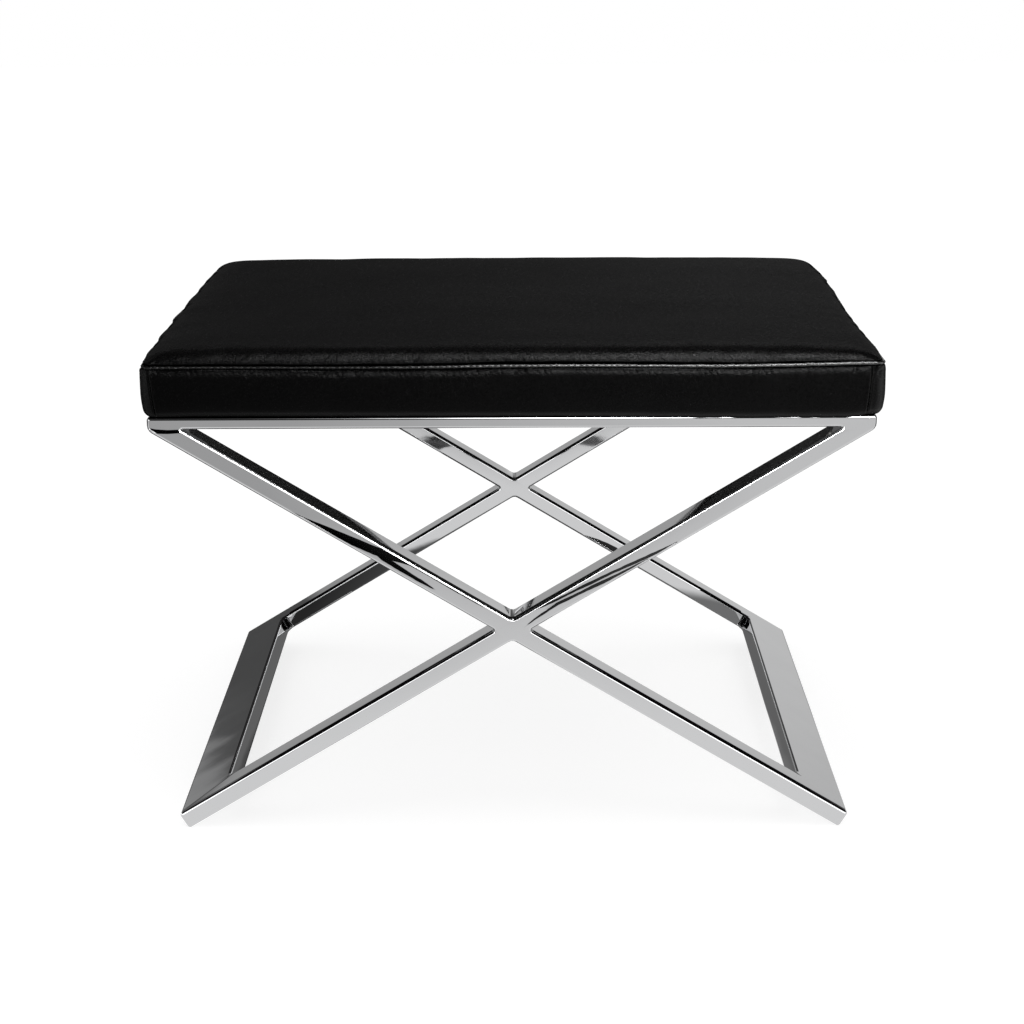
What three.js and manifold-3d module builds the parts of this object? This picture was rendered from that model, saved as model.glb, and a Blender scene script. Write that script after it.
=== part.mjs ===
// X frame stool: two welded tube frames crossing in an X, wide floor rails and an upholstered seat.
// Millimetres, +X to the right, +Y to the back, +Z up. The origin lies on the floor, under the middle.

import * as THREE from 'three';
import { mergeVertices } from 'three/addons/utils/BufferGeometryUtils.js';
import Module from 'manifold-3d';

const wasm = await Module();
wasm.setup();

// Driving dimensions of the whole stool
const frameHeight = 382;
const frameDepth = 505;
const legAngle = THREE.MathUtils.degToRad(31.4);
const crossingToFoot = 350;

// Tubes
const legFace = 16;
const legDepth = 30;
const topRailHeight = 10.5;
const floorRailWidth = 50;
const sideRailWidth = 30;
const tubeWall = 1.5;
const edgeRadius = 2.4;

// Corners, welds and dressed edges of the frame
const cornerEase = 0.4;
const topCornerRadius = 8;
const topCornerCut = 2.3;
const crossingFillet = 6;
const crossingSideFillet = 1.5;
const underRailFillet = 0.6;
const floorRailFillet = 8;
const weldGap = 0.3;
const footFlatDepth = 0.3;
const sideRailInset = 2;
const ventHoleRadius = 2.5;

// Corner tabs that the seat is screwed to
const tabLeg = 46;
const tabThickness = 3;
const tabTipRadius = 2.5;
const tabHoleInset = 16;
const tabHoleClearance = 0.7;

// Screws, washers and tee nuts
const screwRadius = 3;
const screwTipSetback = 2.2;
const screwTipChamfer = 0.8;
const screwHeadRadius = 5.25;
const screwHeadHeight = 3.3;
const screwHeadDome = 1.2;
const screwSocketRadius = 2.3;
const screwSocketDepth = 2;
const washerBand = 2.8;
const washerClearance = 0.4;
const washerThickness = 1.2;
const teeNutClearance = 0.3;
const teeNutBarrelWall = 0.9;
const teeNutBarrelSetback = 1.5;
const teeNutFlangeBand = 5.5;
const teeNutFlangeThickness = 1.5;

// Seat
const seatOverhangSide = 5;
const seatOverhangFront = 4;
const seatCornerRadius = 10;
const foldCornerRadius = 5;
const seamAboveFrame = 45;
const crownHeight = 14.5;
const crownSoftness = 8;
const crownSlowSoftness = 45;
const crownSlowShare = 0.25;
const lowerEdgeRadius = 8;
const leatherThickness = 1.2;
const foldLap = 9;
const bandBulge = 1.2;
const seamSet = 1;
const seamDrawIn = 1.2;
const cornerSeamInset = 8;
const boardThickness = 12;
const boardClearance = 1;
const dustCoverThickness = 0.8;
const dustCoverClearance = 3.5;
const seatGap = 0.3;

// The side of the seat cover above its lower round: share of the height up to the seam,
// share of the bulge there, and share of the seam's draw-in.
const sideShares = [
  [0.3, 0.2, 0],
  [0.6, 0.8, 0.15],
  [0.82, 1, 0.5],
  [0.94, 0.4, 0.9],
];

// Where the crowned top has a ring: its distance in from the seam, as a share of the softness.
const crownShares = [0.22, 0.55, 1.1, 1.9, 3.3, 7, 14];

// How finely curves are divided
const quarterSteps = 4;
const roundSteps = 16;
const socketSides = 6;
const seatCornerSteps = 4;
const seatLongSteps = 16;
const seatShortSteps = 13;
const foldSteps = 2;

// How far cutters pass the faces they cut, and how close vertices count as one
const overrun = 20;
const mergeDistance = 0.0001;

// Sizes that follow from the ones above
const halfFace = legFace / 2;
const tubeCornerRadius = edgeRadius + cornerEase;
const sine = Math.sin(legAngle);
const cosine = Math.cos(legAngle);
const footRoundCentre = new THREE.Vector2(crossingToFoot - edgeRadius, edgeRadius - halfFace);
const crossingHeight =
  footRoundCentre.x * sine - footRoundCentre.y * cosine + edgeRadius - footFlatDepth;
const railUnderside = frameHeight - topRailHeight - crossingHeight;
const railTop = frameHeight - crossingHeight;
const railEnd =
  (railUnderside + halfFace * cosine) / Math.tan(legAngle) + halfFace * sine - topCornerCut;
const frameFront = -frameDepth / 2;
const sideRailOuter = railEnd - sideRailInset;
const sideRailInner = sideRailOuter - sideRailWidth;
const frameInside = frameDepth / 2 - legDepth;
const miterLength = Math.hypot(floorRailWidth, legDepth);

const dustCoverTop = frameHeight;
const tabTop = dustCoverTop - dustCoverThickness - seatGap;
const washerTop = tabTop - tabThickness - seatGap;
const screwHeadTop = washerTop - washerThickness - seatGap;
const screwX = sideRailInner - tabHoleInset;
const screwY = frameInside - tabHoleInset;
const tabHoleRadius = screwRadius + tabHoleClearance;
const washerHoleRadius = screwRadius + washerClearance;
const washerRadius = washerHoleRadius + washerBand;
const teeNutBore = screwRadius + teeNutClearance;
const teeNutBarrelRadius = teeNutBore + teeNutBarrelWall;
const teeNutFlangeRadius = teeNutBarrelRadius + teeNutFlangeBand;
const teeNutBarrelEnd = teeNutBarrelSetback - boardThickness;

const seatHalfWidth = railEnd + seatOverhangSide;
const seatHalfDepth = frameDepth / 2 + seatOverhangFront;
const seatBottom = frameHeight + seatGap;
const seamHeight = frameHeight + seamAboveFrame;
const foldHalfWidth = sideRailInner - foldLap;
const foldHalfDepth = frameInside - foldLap;
const boardBottom = seatBottom + leatherThickness + seatGap;
const boardTop = boardBottom + boardThickness;
const screwLength = boardTop - teeNutFlangeThickness - screwTipSetback - screwHeadTop;

const steel = new THREE.MeshStandardMaterial({ color: 0xc6c7c9, roughness: 0.06, metalness: 1 });
const zinc = new THREE.MeshStandardMaterial({ color: 0xa9abad, roughness: 0.35, metalness: 1 });
const leather = new THREE.MeshStandardMaterial({ color: 0x0c0c0d, roughness: 0.42, metalness: 0 });
const plywood = new THREE.MeshStandardMaterial({ color: 0xb98f5f, roughness: 0.7, metalness: 0 });
const foam = new THREE.MeshStandardMaterial({ color: 0xe6dfb8, roughness: 0.95, metalness: 0 });
const backing = new THREE.MeshStandardMaterial({ color: 0x15151a, roughness: 0.9, metalness: 0 });

// Solids and back again

function solidOf(geometry) {
  const bare = geometry.clone();
  bare.deleteAttribute('normal');
  bare.deleteAttribute('uv');
  const merged = mergeVertices(bare, mergeDistance);
  const vertProperties = merged.attributes.position.array;
  const triVerts = new Uint32Array(merged.index.array);
  return new wasm.Manifold(new wasm.Mesh({ numProp: 3, vertProperties, triVerts }));
}

function geometryOf(solid) {
  const mesh = solid.getMesh();
  const geometry = new THREE.BufferGeometry();
  geometry.setAttribute('position', new THREE.BufferAttribute(mesh.vertProperties, 3));
  geometry.setIndex(new THREE.BufferAttribute(mesh.triVerts, 1));
  geometry.computeVertexNormals();
  return geometry;
}

// Outlines

function corner(x, y, radius = 0) {
  return { x, y, radius };
}

// One corner as the points of an arc that is tangent to both of its sides.
function cornerArc(before, at, after) {
  const tip = new THREE.Vector2(at.x, at.y);
  if (at.radius === 0) return [tip];
  const toBefore = new THREE.Vector2(before.x, before.y).sub(tip).normalize();
  const toAfter = new THREE.Vector2(after.x, after.y).sub(tip).normalize();
  const halfAngle = Math.acos(toBefore.dot(toAfter)) / 2;
  const tangent = at.radius / Math.tan(halfAngle);
  const start = tip.clone().addScaledVector(toBefore, tangent);
  const end = tip.clone().addScaledVector(toAfter, tangent);
  const inward = toBefore.clone().add(toAfter).normalize();
  const centre = tip.clone().addScaledVector(inward, at.radius / Math.sin(halfAngle));
  const startAngle = start.clone().sub(centre).angle();
  const turn = end.clone().sub(centre).angle() - startAngle;
  const sweep = Math.atan2(Math.sin(turn), Math.cos(turn));
  const steps = Math.ceil(Math.abs(sweep) / (Math.PI / 2 / quarterSteps));
  return Array.from({ length: steps + 1 }, (_, i) => {
    const angle = startAngle + (sweep * i) / steps;
    return new THREE.Vector2(Math.cos(angle), Math.sin(angle)).multiplyScalar(at.radius).add(centre);
  });
}

function roundedPoints(corners) {
  return corners.flatMap((at, i) =>
    cornerArc(corners.at(i - 1), at, corners[(i + 1) % corners.length]));
}

function outline(corners, holes = []) {
  const shape = new THREE.Shape(roundedPoints(corners));
  shape.holes = holes.map((hole) => new THREE.Path(roundedPoints(hole)));
  return shape;
}

// A plate of the given thickness with both of its rims rounded; its middle lies in the XY plane.
function plate(shape, thickness, rim = 0) {
  const geometry = new THREE.ExtrudeGeometry(shape, {
    depth: thickness - 2 * rim,
    bevelEnabled: rim > 0,
    bevelThickness: rim,
    bevelSize: rim,
    bevelOffset: -rim,
    bevelSegments: quarterSteps,
  });
  return geometry.translate(0, 0, rim - thickness / 2);
}

// A flat piece without rounded rims, with its top at z = 0.
function sheet(shape, thickness) {
  const geometry = new THREE.ExtrudeGeometry(shape, {
    depth: thickness, bevelEnabled: false, curveSegments: roundSteps / 2,
  });
  return geometry.translate(0, 0, -thickness);
}

// A shape drawn in X and Z, from the front face at y = 0 back to y = depth.
function standing(shape, depth, rim = 0) {
  return plate(shape, depth, rim).rotateX(Math.PI / 2).translate(0, depth / 2, 0);
}

function mirrored(corners) {
  return corners.map((at) => corner(-at.x, at.y, at.radius)).reverse();
}

function block(width, depth, height, x, y, z) {
  return solidOf(new THREE.BoxGeometry(width, depth, height).translate(x, y, z));
}

// Frame in the plane of one X, measured from the middle of the crossing

// A point on the rising leg: along its axis from the crossing, and across it to the upper left.
function onLeg(along, across) {
  return { x: along * cosine - across * sine, y: along * sine + across * cosine };
}

function legAtHeight(across, height) {
  return onLeg((height - across * cosine) / sine, across);
}

function legAtSide(across, side) {
  return onLeg((side + across * sine) / cosine, across);
}

// The whole face of one frame: both legs, the top rail and every fillet, ground to one surface.
function frameOutline() {
  const footLow = onLeg(-crossingToFoot, -halfFace);
  const footHigh = onLeg(-crossingToFoot, halfFace);
  const shoulder = legAtSide(-halfFace, railEnd);
  const armpit = legAtHeight(halfFace, railUnderside);
  const rightEdge = [
    corner(-footLow.x, footLow.y, tubeCornerRadius),
    corner(-footHigh.x, footHigh.y, tubeCornerRadius),
    corner(halfFace / sine, 0, crossingSideFillet),
    corner(railEnd, shoulder.y, topCornerRadius),
    corner(railEnd, railTop, tubeCornerRadius),
  ];
  const bottomNotch = corner(0, -halfFace / cosine, crossingFillet);
  const window = [
    corner(0, halfFace / cosine, crossingFillet),
    corner(armpit.x, armpit.y, underRailFillet),
    corner(-armpit.x, armpit.y, underRailFillet),
  ];
  return outline([bottomNotch, ...rightEdge, ...mirrored(rightEdge)], [window]);
}

// The side of the rising leg where the other leg's upper half joins it, from a margin off its face.
function upperJointSide(margin) {
  const reach = crossingToFoot + railEnd;
  const along = halfFace / sine + 2 * crossingFillet;
  const near = onLeg(-reach, halfFace + margin);
  const far = onLeg(along, halfFace + margin);
  return [
    corner(near.x, near.y),
    corner(far.x, far.y),
    corner(far.x, reach),
    corner(near.x, reach),
  ];
}

// The opposite side, where the lower half joins: the same turned half round.
function turnedOver(corners) {
  return corners.map((at) => corner(-at.x, -at.y, at.radius));
}

// The bore of the rising leg, one wall inside its faces and inside the rounded top corner.
function boreOutline() {
  const across = halfFace - tubeWall;
  const side = railEnd - tubeWall;
  const footLow = onLeg(-crossingToFoot - overrun, -across);
  const footHigh = onLeg(-crossingToFoot - overrun, across);
  const shoulder = legAtSide(-across, side);
  const mouth = legAtHeight(across, railTop);
  return [
    corner(footLow.x, footLow.y),
    corner(shoulder.x, shoulder.y, topCornerRadius - tubeWall),
    corner(side, railTop),
    corner(mouth.x, mouth.y),
    corner(footHigh.x, footHigh.y),
  ];
}

function inFrame(corners, margin = overrun) {
  const depth = legDepth + 2 * margin;
  return solidOf(standing(outline(corners), depth).translate(0, -margin, 0));
}

// All of a frame's plane that lies above a height, or below it where the side is -1.
function pastHeight(height, side) {
  const tall = 2 * crossingToFoot;
  const deep = legDepth + 2 * overrun;
  return block(2 * tall, deep, tall, 0, legDepth / 2, height + (side * tall) / 2);
}

// Floor rails, drawn in the plane of the legs: along the leg from its foot, and back from the front

// Turns a solid made in that plane to where the lower left leg lies.
function layOnLeftLeg(geometry) {
  const along = new THREE.Vector3(cosine, 0, sine);
  const back = new THREE.Vector3(0, 1, 0);
  const up = new THREE.Vector3(-sine, 0, cosine);
  const foot = onLeg(-crossingToFoot, 0);
  const placed = new THREE.Matrix4().makeBasis(along, back, up).setPosition(foot.x, 0, foot.y);
  return geometry.applyMatrix4(placed);
}

// Where the mitre lies at a distance back from the front, moved sideways by a margin.
function miterAlong(back, margin) {
  return (floorRailWidth * back + margin * miterLength) / legDepth;
}

// What the mitre takes off a leg: all that lies on the floor rail's side of it.
function railSideOfMiter() {
  const near = -overrun;
  const far = legDepth + overrun;
  const halfGap = weldGap / 2;
  const corners = [
    corner(miterAlong(near, 0) - overrun, near),
    corner(miterAlong(near, halfGap), near),
    corner(miterAlong(far, halfGap), far),
    corner(miterAlong(near, 0) - overrun, far),
  ];
  return solidOf(layOnLeftLeg(plate(outline(corners), legFace + 2 * overrun)));
}

// What a leg takes off the floor rail: its own footprint and a weld gap round it.
function legFootprint() {
  const near = -overrun;
  const far = legDepth + weldGap;
  const end = floorRailWidth + floorRailFillet + 2 * overrun;
  const halfGap = weldGap / 2;
  const corners = [
    corner(miterAlong(near, -halfGap), near),
    corner(end, near),
    corner(end, far),
    corner(miterAlong(far, -halfGap), far),
  ];
  return plate(outline(corners), legFace + 2 * overrun);
}

// Rail and leg ends as one flat U with filleted inner corners, before it is parted at the mitres.
function floorRailBlank() {
  const armEnd = floorRailWidth + floorRailFillet + overrun;
  const inside = frameDepth - legDepth;
  const corners = [
    corner(0, 0, tubeCornerRadius),
    corner(armEnd, 0),
    corner(armEnd, legDepth),
    corner(floorRailWidth, legDepth, floorRailFillet),
    corner(floorRailWidth, inside, floorRailFillet),
    corner(armEnd, inside),
    corner(armEnd, frameDepth),
    corner(0, frameDepth, tubeCornerRadius),
  ];
  return solidOf(plate(outline(corners), legFace, edgeRadius));
}

function floorRailBore() {
  const width = floorRailWidth - 2 * tubeWall;
  const depth = frameDepth - 2 * tubeWall;
  const height = legFace - 2 * tubeWall;
  return block(width, depth, height, floorRailWidth / 2, frameDepth / 2, 0);
}

// The floor, as a block that dresses the edge the stool stands on.
function floorBlock() {
  const side = 2 * (crossingToFoot + overrun);
  return block(side, 2 * frameDepth, overrun, 0, 0, -crossingHeight - overrun / 2);
}

function makeFloorRail() {
  const footprint = legFootprint();
  const front = solidOf(footprint);
  const back = solidOf(footprint.clone().rotateX(Math.PI).translate(0, frameDepth, 0));
  const rail = floorRailBlank().subtract(floorRailBore()).subtract(front).subtract(back);
  return geometryOf(solidOf(layOnLeftLeg(geometryOf(rail))).subtract(floorBlock()));
}

// The three legs and the top rail of one frame, all parted from one blank

function makeFrameParts() {
  const blank = solidOf(standing(frameOutline(), legDepth, edgeRadius)).subtract(floorBlock());
  const legs = blank.intersect(pastHeight(railUnderside - weldGap / 2, -1));
  const bore = inFrame(boreOutline(), -tubeWall);
  const crossedBore = inFrame(mirrored(boreOutline()), -tubeWall);
  const leftMiter = railSideOfMiter();
  const rightMiter = leftMiter.mirror([1, 0, 0]);
  const upperSide = (margin) => inFrame(upperJointSide(margin));
  const lowerSide = (margin) => inFrame(turnedOver(upperJointSide(margin)));
  const rising = legs.subtract(upperSide(0)).subtract(lowerSide(0));
  const upper = legs.intersect(upperSide(weldGap));
  const lower = legs.intersect(lowerSide(weldGap));
  return {
    longLeg: rising.subtract(bore).subtract(leftMiter),
    upperHalfLeg: upper.subtract(crossedBore),
    lowerHalfLeg: lower.subtract(crossedBore).subtract(rightMiter),
    topRail: makeTopRail(blank),
  };
}

// The top rail keeps solid, rounded ends; a vent in each leg's mouth drains its bore.
function makeTopRail(blank) {
  const boreLength = 2 * (railEnd - topCornerRadius);
  const boreDepth = legDepth - 2 * tubeWall;
  const boreHeight = topRailHeight - 2 * tubeWall;
  const middle = (railUnderside + railTop) / 2;
  const bore = block(boreLength, boreDepth, boreHeight, 0, legDepth / 2, middle);
  const rail = blank.intersect(pastHeight(railUnderside + weldGap / 2, 1)).subtract(bore);
  const ventX = legAtHeight(0, railUnderside).x;
  return rail.subtract(ventHole(ventX)).subtract(ventHole(-ventX));
}

function ventHole(x) {
  const geometry = new THREE.CylinderGeometry(
    ventHoleRadius, ventHoleRadius, topRailHeight, roundSteps);
  return solidOf(geometry.rotateX(Math.PI / 2).translate(x, legDepth / 2, railUnderside));
}

// A side rail runs between the two frames, under the edge of the seat.
function makeSideRail() {
  const length = 2 * (frameInside - weldGap);
  const half = sideRailWidth / 2;
  const low = -topRailHeight / 2;
  const section = outline(
    rectangle(half, -low, edgeRadius),
    [rectangle(half - tubeWall, -low - tubeWall)],
  );
  return standing(section, length).translate(0, -length / 2, 0);
}

function rectangle(halfWidth, halfHeight, radius = 0) {
  return [
    corner(-halfWidth, -halfHeight, radius),
    corner(halfWidth, -halfHeight, radius),
    corner(halfWidth, halfHeight, radius),
    corner(-halfWidth, halfHeight, radius),
  ];
}

function circle(x, y, radius) {
  return new THREE.Path().absarc(x, y, radius, 0, 2 * Math.PI);
}

// A triangular tab in the front left corner: its square corner at the origin, its top at z = 0.
function makeTab() {
  const shape = outline([
    corner(0, 0),
    corner(tabLeg, 0, tabTipRadius),
    corner(0, tabLeg, tabTipRadius),
  ]);
  const holeAt = tabHoleInset - weldGap;
  shape.holes.push(circle(holeAt, holeAt, tabHoleRadius));
  return sheet(shape, tabThickness);
}

// Turned pieces, from profiles of radius and height

function turned(profile, steps = roundSteps) {
  const points = profile.map(([radius, height]) => new THREE.Vector2(radius, height));
  return new THREE.LatheGeometry(points, steps).rotateX(Math.PI / 2);
}

// A screw that points up, with its head's bearing face at z = 0 and a six-sided socket below.
function makeScrew() {
  const domeStart = screwHeadDome - screwHeadHeight;
  const body = turned([
    [0, -screwHeadHeight],
    [screwHeadRadius - screwHeadDome, -screwHeadHeight],
    [screwHeadRadius, domeStart],
    [screwHeadRadius, 0],
    [screwRadius, 0],
    [screwRadius, screwLength - screwTipChamfer],
    [screwRadius - screwTipChamfer, screwLength],
    [0, screwLength],
  ]);
  const socket = new THREE.CylinderGeometry(
    screwSocketRadius, screwSocketRadius, 2 * screwSocketDepth, socketSides);
  socket.rotateX(Math.PI / 2).translate(0, 0, -screwHeadHeight);
  return geometryOf(solidOf(body).subtract(solidOf(socket)));
}

// A washer with its upper face at z = 0.
function makeWasher() {
  return turned([
    [washerHoleRadius, -washerThickness],
    [washerRadius, -washerThickness],
    [washerRadius, 0],
    [washerHoleRadius, 0],
    [washerHoleRadius, -washerThickness],
  ]);
}

// A tee nut with its flange's upper face at z = 0 and its barrel below.
function makeTeeNut() {
  return turned([
    [teeNutBore, teeNutBarrelEnd],
    [teeNutBarrelRadius, teeNutBarrelEnd],
    [teeNutBarrelRadius, -teeNutFlangeThickness],
    [teeNutFlangeRadius, -teeNutFlangeThickness],
    [teeNutFlangeRadius, 0],
    [teeNutBore, 0],
    [teeNutBore, teeNutBarrelEnd],
  ]);
}

// Seat forms, lofted through rings that all have the same number of points

// Points along one straight side, without its end.
function sidePoints(from, to, steps) {
  return Array.from({ length: steps }, (_, i) => from.clone().lerp(to, i / steps));
}

// A rounded rectangle, counter-clockwise, with its long and short sides in a number of steps.
function loopPoints(x, y, radius, longSteps, shortSteps) {
  const centres = [[1, -1], [1, 1], [-1, 1], [-1, -1]].map(([signX, signY]) =>
    new THREE.Vector2(signX * (x - radius), signY * (y - radius)));
  const arcs = centres.map((centre, quarter) =>
    Array.from({ length: seatCornerSteps + 1 }, (_, i) => {
      const angle = ((quarter - 1 + i / seatCornerSteps) * Math.PI) / 2;
      return new THREE.Vector2(Math.cos(angle), Math.sin(angle)).multiplyScalar(radius).add(centre);
    }));
  return arcs.flatMap((arc, i) => {
    const steps = i % 2 === 0 ? shortSteps : longSteps;
    const next = arcs[(i + 1) % arcs.length][0];
    return [...arc.slice(0, -1), ...sidePoints(arc.at(-1), next, steps)];
  });
}

// The seat's outline in plan, larger or smaller by an offset.
function seatLoop(offset, longSteps = seatLongSteps, shortSteps = seatShortSteps) {
  const radius = Math.max(seatCornerRadius + offset, foldCornerRadius);
  return loopPoints(seatHalfWidth + offset, seatHalfDepth + offset, radius, longSteps, shortSteps);
}

// How far the seam is drawn in at a place along the sides: nothing at a corner, most between two.
function drawnIn(point, share) {
  const alongX = 1 - (point.x / seatHalfWidth) ** 2;
  const alongY = 1 - (point.y / seatHalfDepth) ** 2;
  const pull = seamDrawIn * share;
  return new THREE.Vector2(
    point.x - Math.sign(point.x) * pull * Math.max(alongY, 0),
    point.y - Math.sign(point.y) * pull * Math.max(alongX, 0),
  );
}

// The height of the crowned top at a place, for a surface that lies inside the outer one by a depth.
// It rises steeply beside the seam, and for a small share slowly towards the middle.
function crownAt(point, depth) {
  const rise = (half, place) => {
    const inward = Math.max(half - seamSet - depth - Math.abs(place), 0);
    const steep = 1 - Math.exp(-inward / crownSoftness);
    const slow = 1 - Math.exp(-inward / crownSlowSoftness);
    return THREE.MathUtils.lerp(steep, slow, crownSlowShare);
  };
  return seamHeight - depth
    + crownHeight * rise(seatHalfWidth, point.x) * rise(seatHalfDepth, point.y);
}

function flatRing(offset, height, drawShare = 0) {
  return seatLoop(offset).map((point) => {
    const moved = drawnIn(point, drawShare);
    return new THREE.Vector3(moved.x, moved.y, height);
  });
}

function crownRing(inset, depth, drawShare) {
  return seatLoop(-seamSet - depth - inset).map((point) => {
    const moved = drawnIn(point, drawShare);
    return new THREE.Vector3(moved.x, moved.y, crownAt(point, depth));
  });
}

// Joins rings from the bottom up, with a cap on the first and the last, or in a closed round.
function loft(rings, closed = false) {
  const count = rings[0].length;
  const points = rings.flat();
  const triangles = [];
  const last = closed ? rings.length : rings.length - 1;
  for (let i = 0; i < last; i += 1) {
    const low = i * count;
    const high = ((i + 1) % rings.length) * count;
    for (let j = 0; j < count; j += 1) {
      const next = (j + 1) % count;
      triangles.push(low + j, low + next, high + next);
      triangles.push(low + j, high + next, high + j);
    }
  }
  if (!closed) {
    addCap(points, triangles, 0, count, true);
    addCap(points, triangles, (rings.length - 1) * count, count, false);
  }
  const geometry = new THREE.BufferGeometry().setFromPoints(points);
  geometry.setIndex(triangles);
  geometry.computeVertexNormals();
  return geometry;
}

// Closes a ring with triangles that meet in its middle.
function addCap(points, triangles, first, count, facesDown) {
  const ring = points.slice(first, first + count);
  const middle = ring.reduce((sum, point) => sum.add(point), new THREE.Vector3());
  const centre = points.push(middle.divideScalar(count)) - 1;
  for (let j = 0; j < count; j += 1) {
    const here = first + j;
    const next = first + ((j + 1) % count);
    triangles.push(centre, ...(facesDown ? [next, here] : [here, next]));
  }
}

// A quarter round from facing down to facing out, as offsets from the seat's outline and heights.
function lowerRound(radius, centreHeight) {
  return Array.from({ length: quarterSteps + 1 }, (_, i) => {
    const angle = (i / quarterSteps) * (Math.PI / 2);
    const offset = Math.sin(angle) * radius - lowerEdgeRadius;
    return { offset, height: centreHeight - Math.cos(angle) * radius, draw: 0 };
  });
}

// The side of the seat cover from its lower round to the seam.
// A surface inside the leather has a depth: it lies that far in from the outer face.
function sideProfile(depth) {
  const roundTop = seatBottom + lowerEdgeRadius;
  const straight = seamHeight - roundTop;
  const wall = sideShares.map(([heightShare, bulgeShare, draw]) => ({
    offset: bulgeShare * bandBulge - depth,
    height: roundTop + heightShare * straight,
    draw,
  }));
  return [...lowerRound(lowerEdgeRadius - depth, roundTop), ...wall];
}

function ringsOf(profile) {
  return profile.map(({ offset, height, draw }) => flatRing(offset, height, draw));
}

// All four boxing bands as one closed loop: the fold under the board, the lower round and the side.
function makeBandLoop() {
  const top = seamHeight - seatGap;
  const outer = ringsOf([...sideProfile(0), { offset: -seamSet, height: top, draw: 1 }]);
  const inner = ringsOf([
    ...sideProfile(leatherThickness),
    { offset: -seamSet - leatherThickness, height: top, draw: 1 },
  ]);
  const foldLow = foldRings(seatBottom);
  const foldHigh = foldRings(seatBottom + leatherThickness);
  return solidOf(loft([...foldLow, ...outer, ...inner.reverse(), ...foldHigh.reverse()], true));
}

// Rings of the fold from its cut edge, inside the frame, to where the lower round starts.
function foldRings(height) {
  const cutEdge = loopPoints(
    foldHalfWidth, foldHalfDepth, foldCornerRadius, seatLongSteps, seatShortSteps);
  const roundStart = seatLoop(-lowerEdgeRadius);
  return Array.from({ length: foldSteps }, (_, i) => cutEdge.map((point, j) => {
    const place = point.clone().lerp(roundStart[j], i / foldSteps);
    return new THREE.Vector3(place.x, place.y, height);
  }));
}

// The front band's share of the loop in plan, up to the corner seams, wider by a margin.
function frontWedge(margin) {
  const seamX = seatHalfWidth - cornerSeamInset + margin * Math.SQRT2;
  const inward = seatHalfDepth - foldHalfDepth + overrun;
  const corners = [
    corner(-seamX - overrun, -seatHalfDepth - overrun),
    corner(seamX + overrun, -seatHalfDepth - overrun),
    corner(seamX - inward, inward - seatHalfDepth),
    corner(inward - seamX, inward - seatHalfDepth),
  ];
  return solidOf(plate(outline(corners), 2 * (seamHeight + overrun)));
}

function makeBands() {
  const loop = makeBandLoop();
  const wedge = frontWedge(0);
  const wide = frontWedge(seatGap);
  const sides = loop.subtract(wide).subtract(wide.mirror([0, 1, 0]));
  const reach = seatHalfWidth + overrun;
  const height = 2 * (seamHeight + overrun);
  const rightHalf = block(reach, 2 * reach, height, reach / 2, 0, 0);
  return {
    front: geometryOf(loop.intersect(wedge)),
    back: geometryOf(loop.intersect(wedge.mirror([0, 1, 0]))),
    left: geometryOf(sides.subtract(rightHalf)),
    right: geometryOf(sides.intersect(rightHalf)),
  };
}

// The crowned leather top, a thin shell that is open below.
function makeTopPanel() {
  const rim = (depth) => flatRing(-seamSet - depth, seamHeight, 1);
  const crown = (depth) => crownShares.map((share) => crownRing(share * crownSoftness, depth, 1));
  const inner = crown(leatherThickness).reverse();
  return loft([...inner, rim(leatherThickness), rim(0), ...crown(0)]);
}

function makeFoam() {
  const depth = leatherThickness + seatGap;
  const bottom = boardTop + seatGap;
  const side = sideProfile(depth).filter(({ height }) => height > bottom);
  const base = { ...side[0], height: bottom };
  const rim = flatRing(-seamSet - depth, seamHeight - depth, 1);
  const crown = crownShares.map((share) => crownRing(share * crownSoftness, depth, 1));
  return loft([...ringsOf([base, ...side]), rim, ...crown]);
}

// The plywood board, with its lower edge rounded over and a stepped hole for each tee nut.
function makeBoard() {
  const depth = leatherThickness + seatGap + boardClearance;
  const radius = lowerEdgeRadius - depth;
  const profile = [
    ...lowerRound(radius, boardBottom + radius),
    { offset: -depth, height: boardTop },
  ];
  const rings = profile.map(({ offset, height }) =>
    seatLoop(offset, 1, 1).map((point) => new THREE.Vector3(point.x, point.y, height)));
  return geometryOf(seatCorners().reduce(
    (board, [x, y]) => board.subtract(nutHole(x, y)), solidOf(loft(rings))));
}

// The room for one tee nut: its flange sits flush with the board's top.
function nutHole(x, y) {
  const flange = teeNutFlangeThickness + seatGap;
  const hole = turned([
    [0, -boardThickness - overrun],
    [teeNutBarrelRadius + seatGap, -boardThickness - overrun],
    [teeNutBarrelRadius + seatGap, -flange],
    [teeNutFlangeRadius + seatGap, -flange],
    [teeNutFlangeRadius + seatGap, overrun],
    [0, overrun],
  ]);
  return solidOf(hole.translate(x, y, boardTop));
}

// The dust cover fills the frame's inside and laps over the leather's fold.
function makeDustCover() {
  const halfWidth = sideRailInner - dustCoverClearance;
  const halfDepth = frameInside - dustCoverClearance;
  const shape = outline(rectangle(halfWidth, halfDepth));
  shape.holes = seatCorners().map(([x, y]) => circle(x, y, tabHoleRadius));
  return sheet(shape, dustCoverThickness).translate(0, 0, dustCoverTop);
}

// The four places where the seat is screwed down.
function seatCorners() {
  return [-1, 1].flatMap((depthSide) =>
    [-1, 1].map((side) => [side * screwX, depthSide * screwY]));
}

// Assembly

function addMesh(group, name, geometry, material) {
  const mesh = new THREE.Mesh(geometry, material.clone());
  mesh.name = name;
  group.add(mesh);
  return mesh;
}

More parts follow.
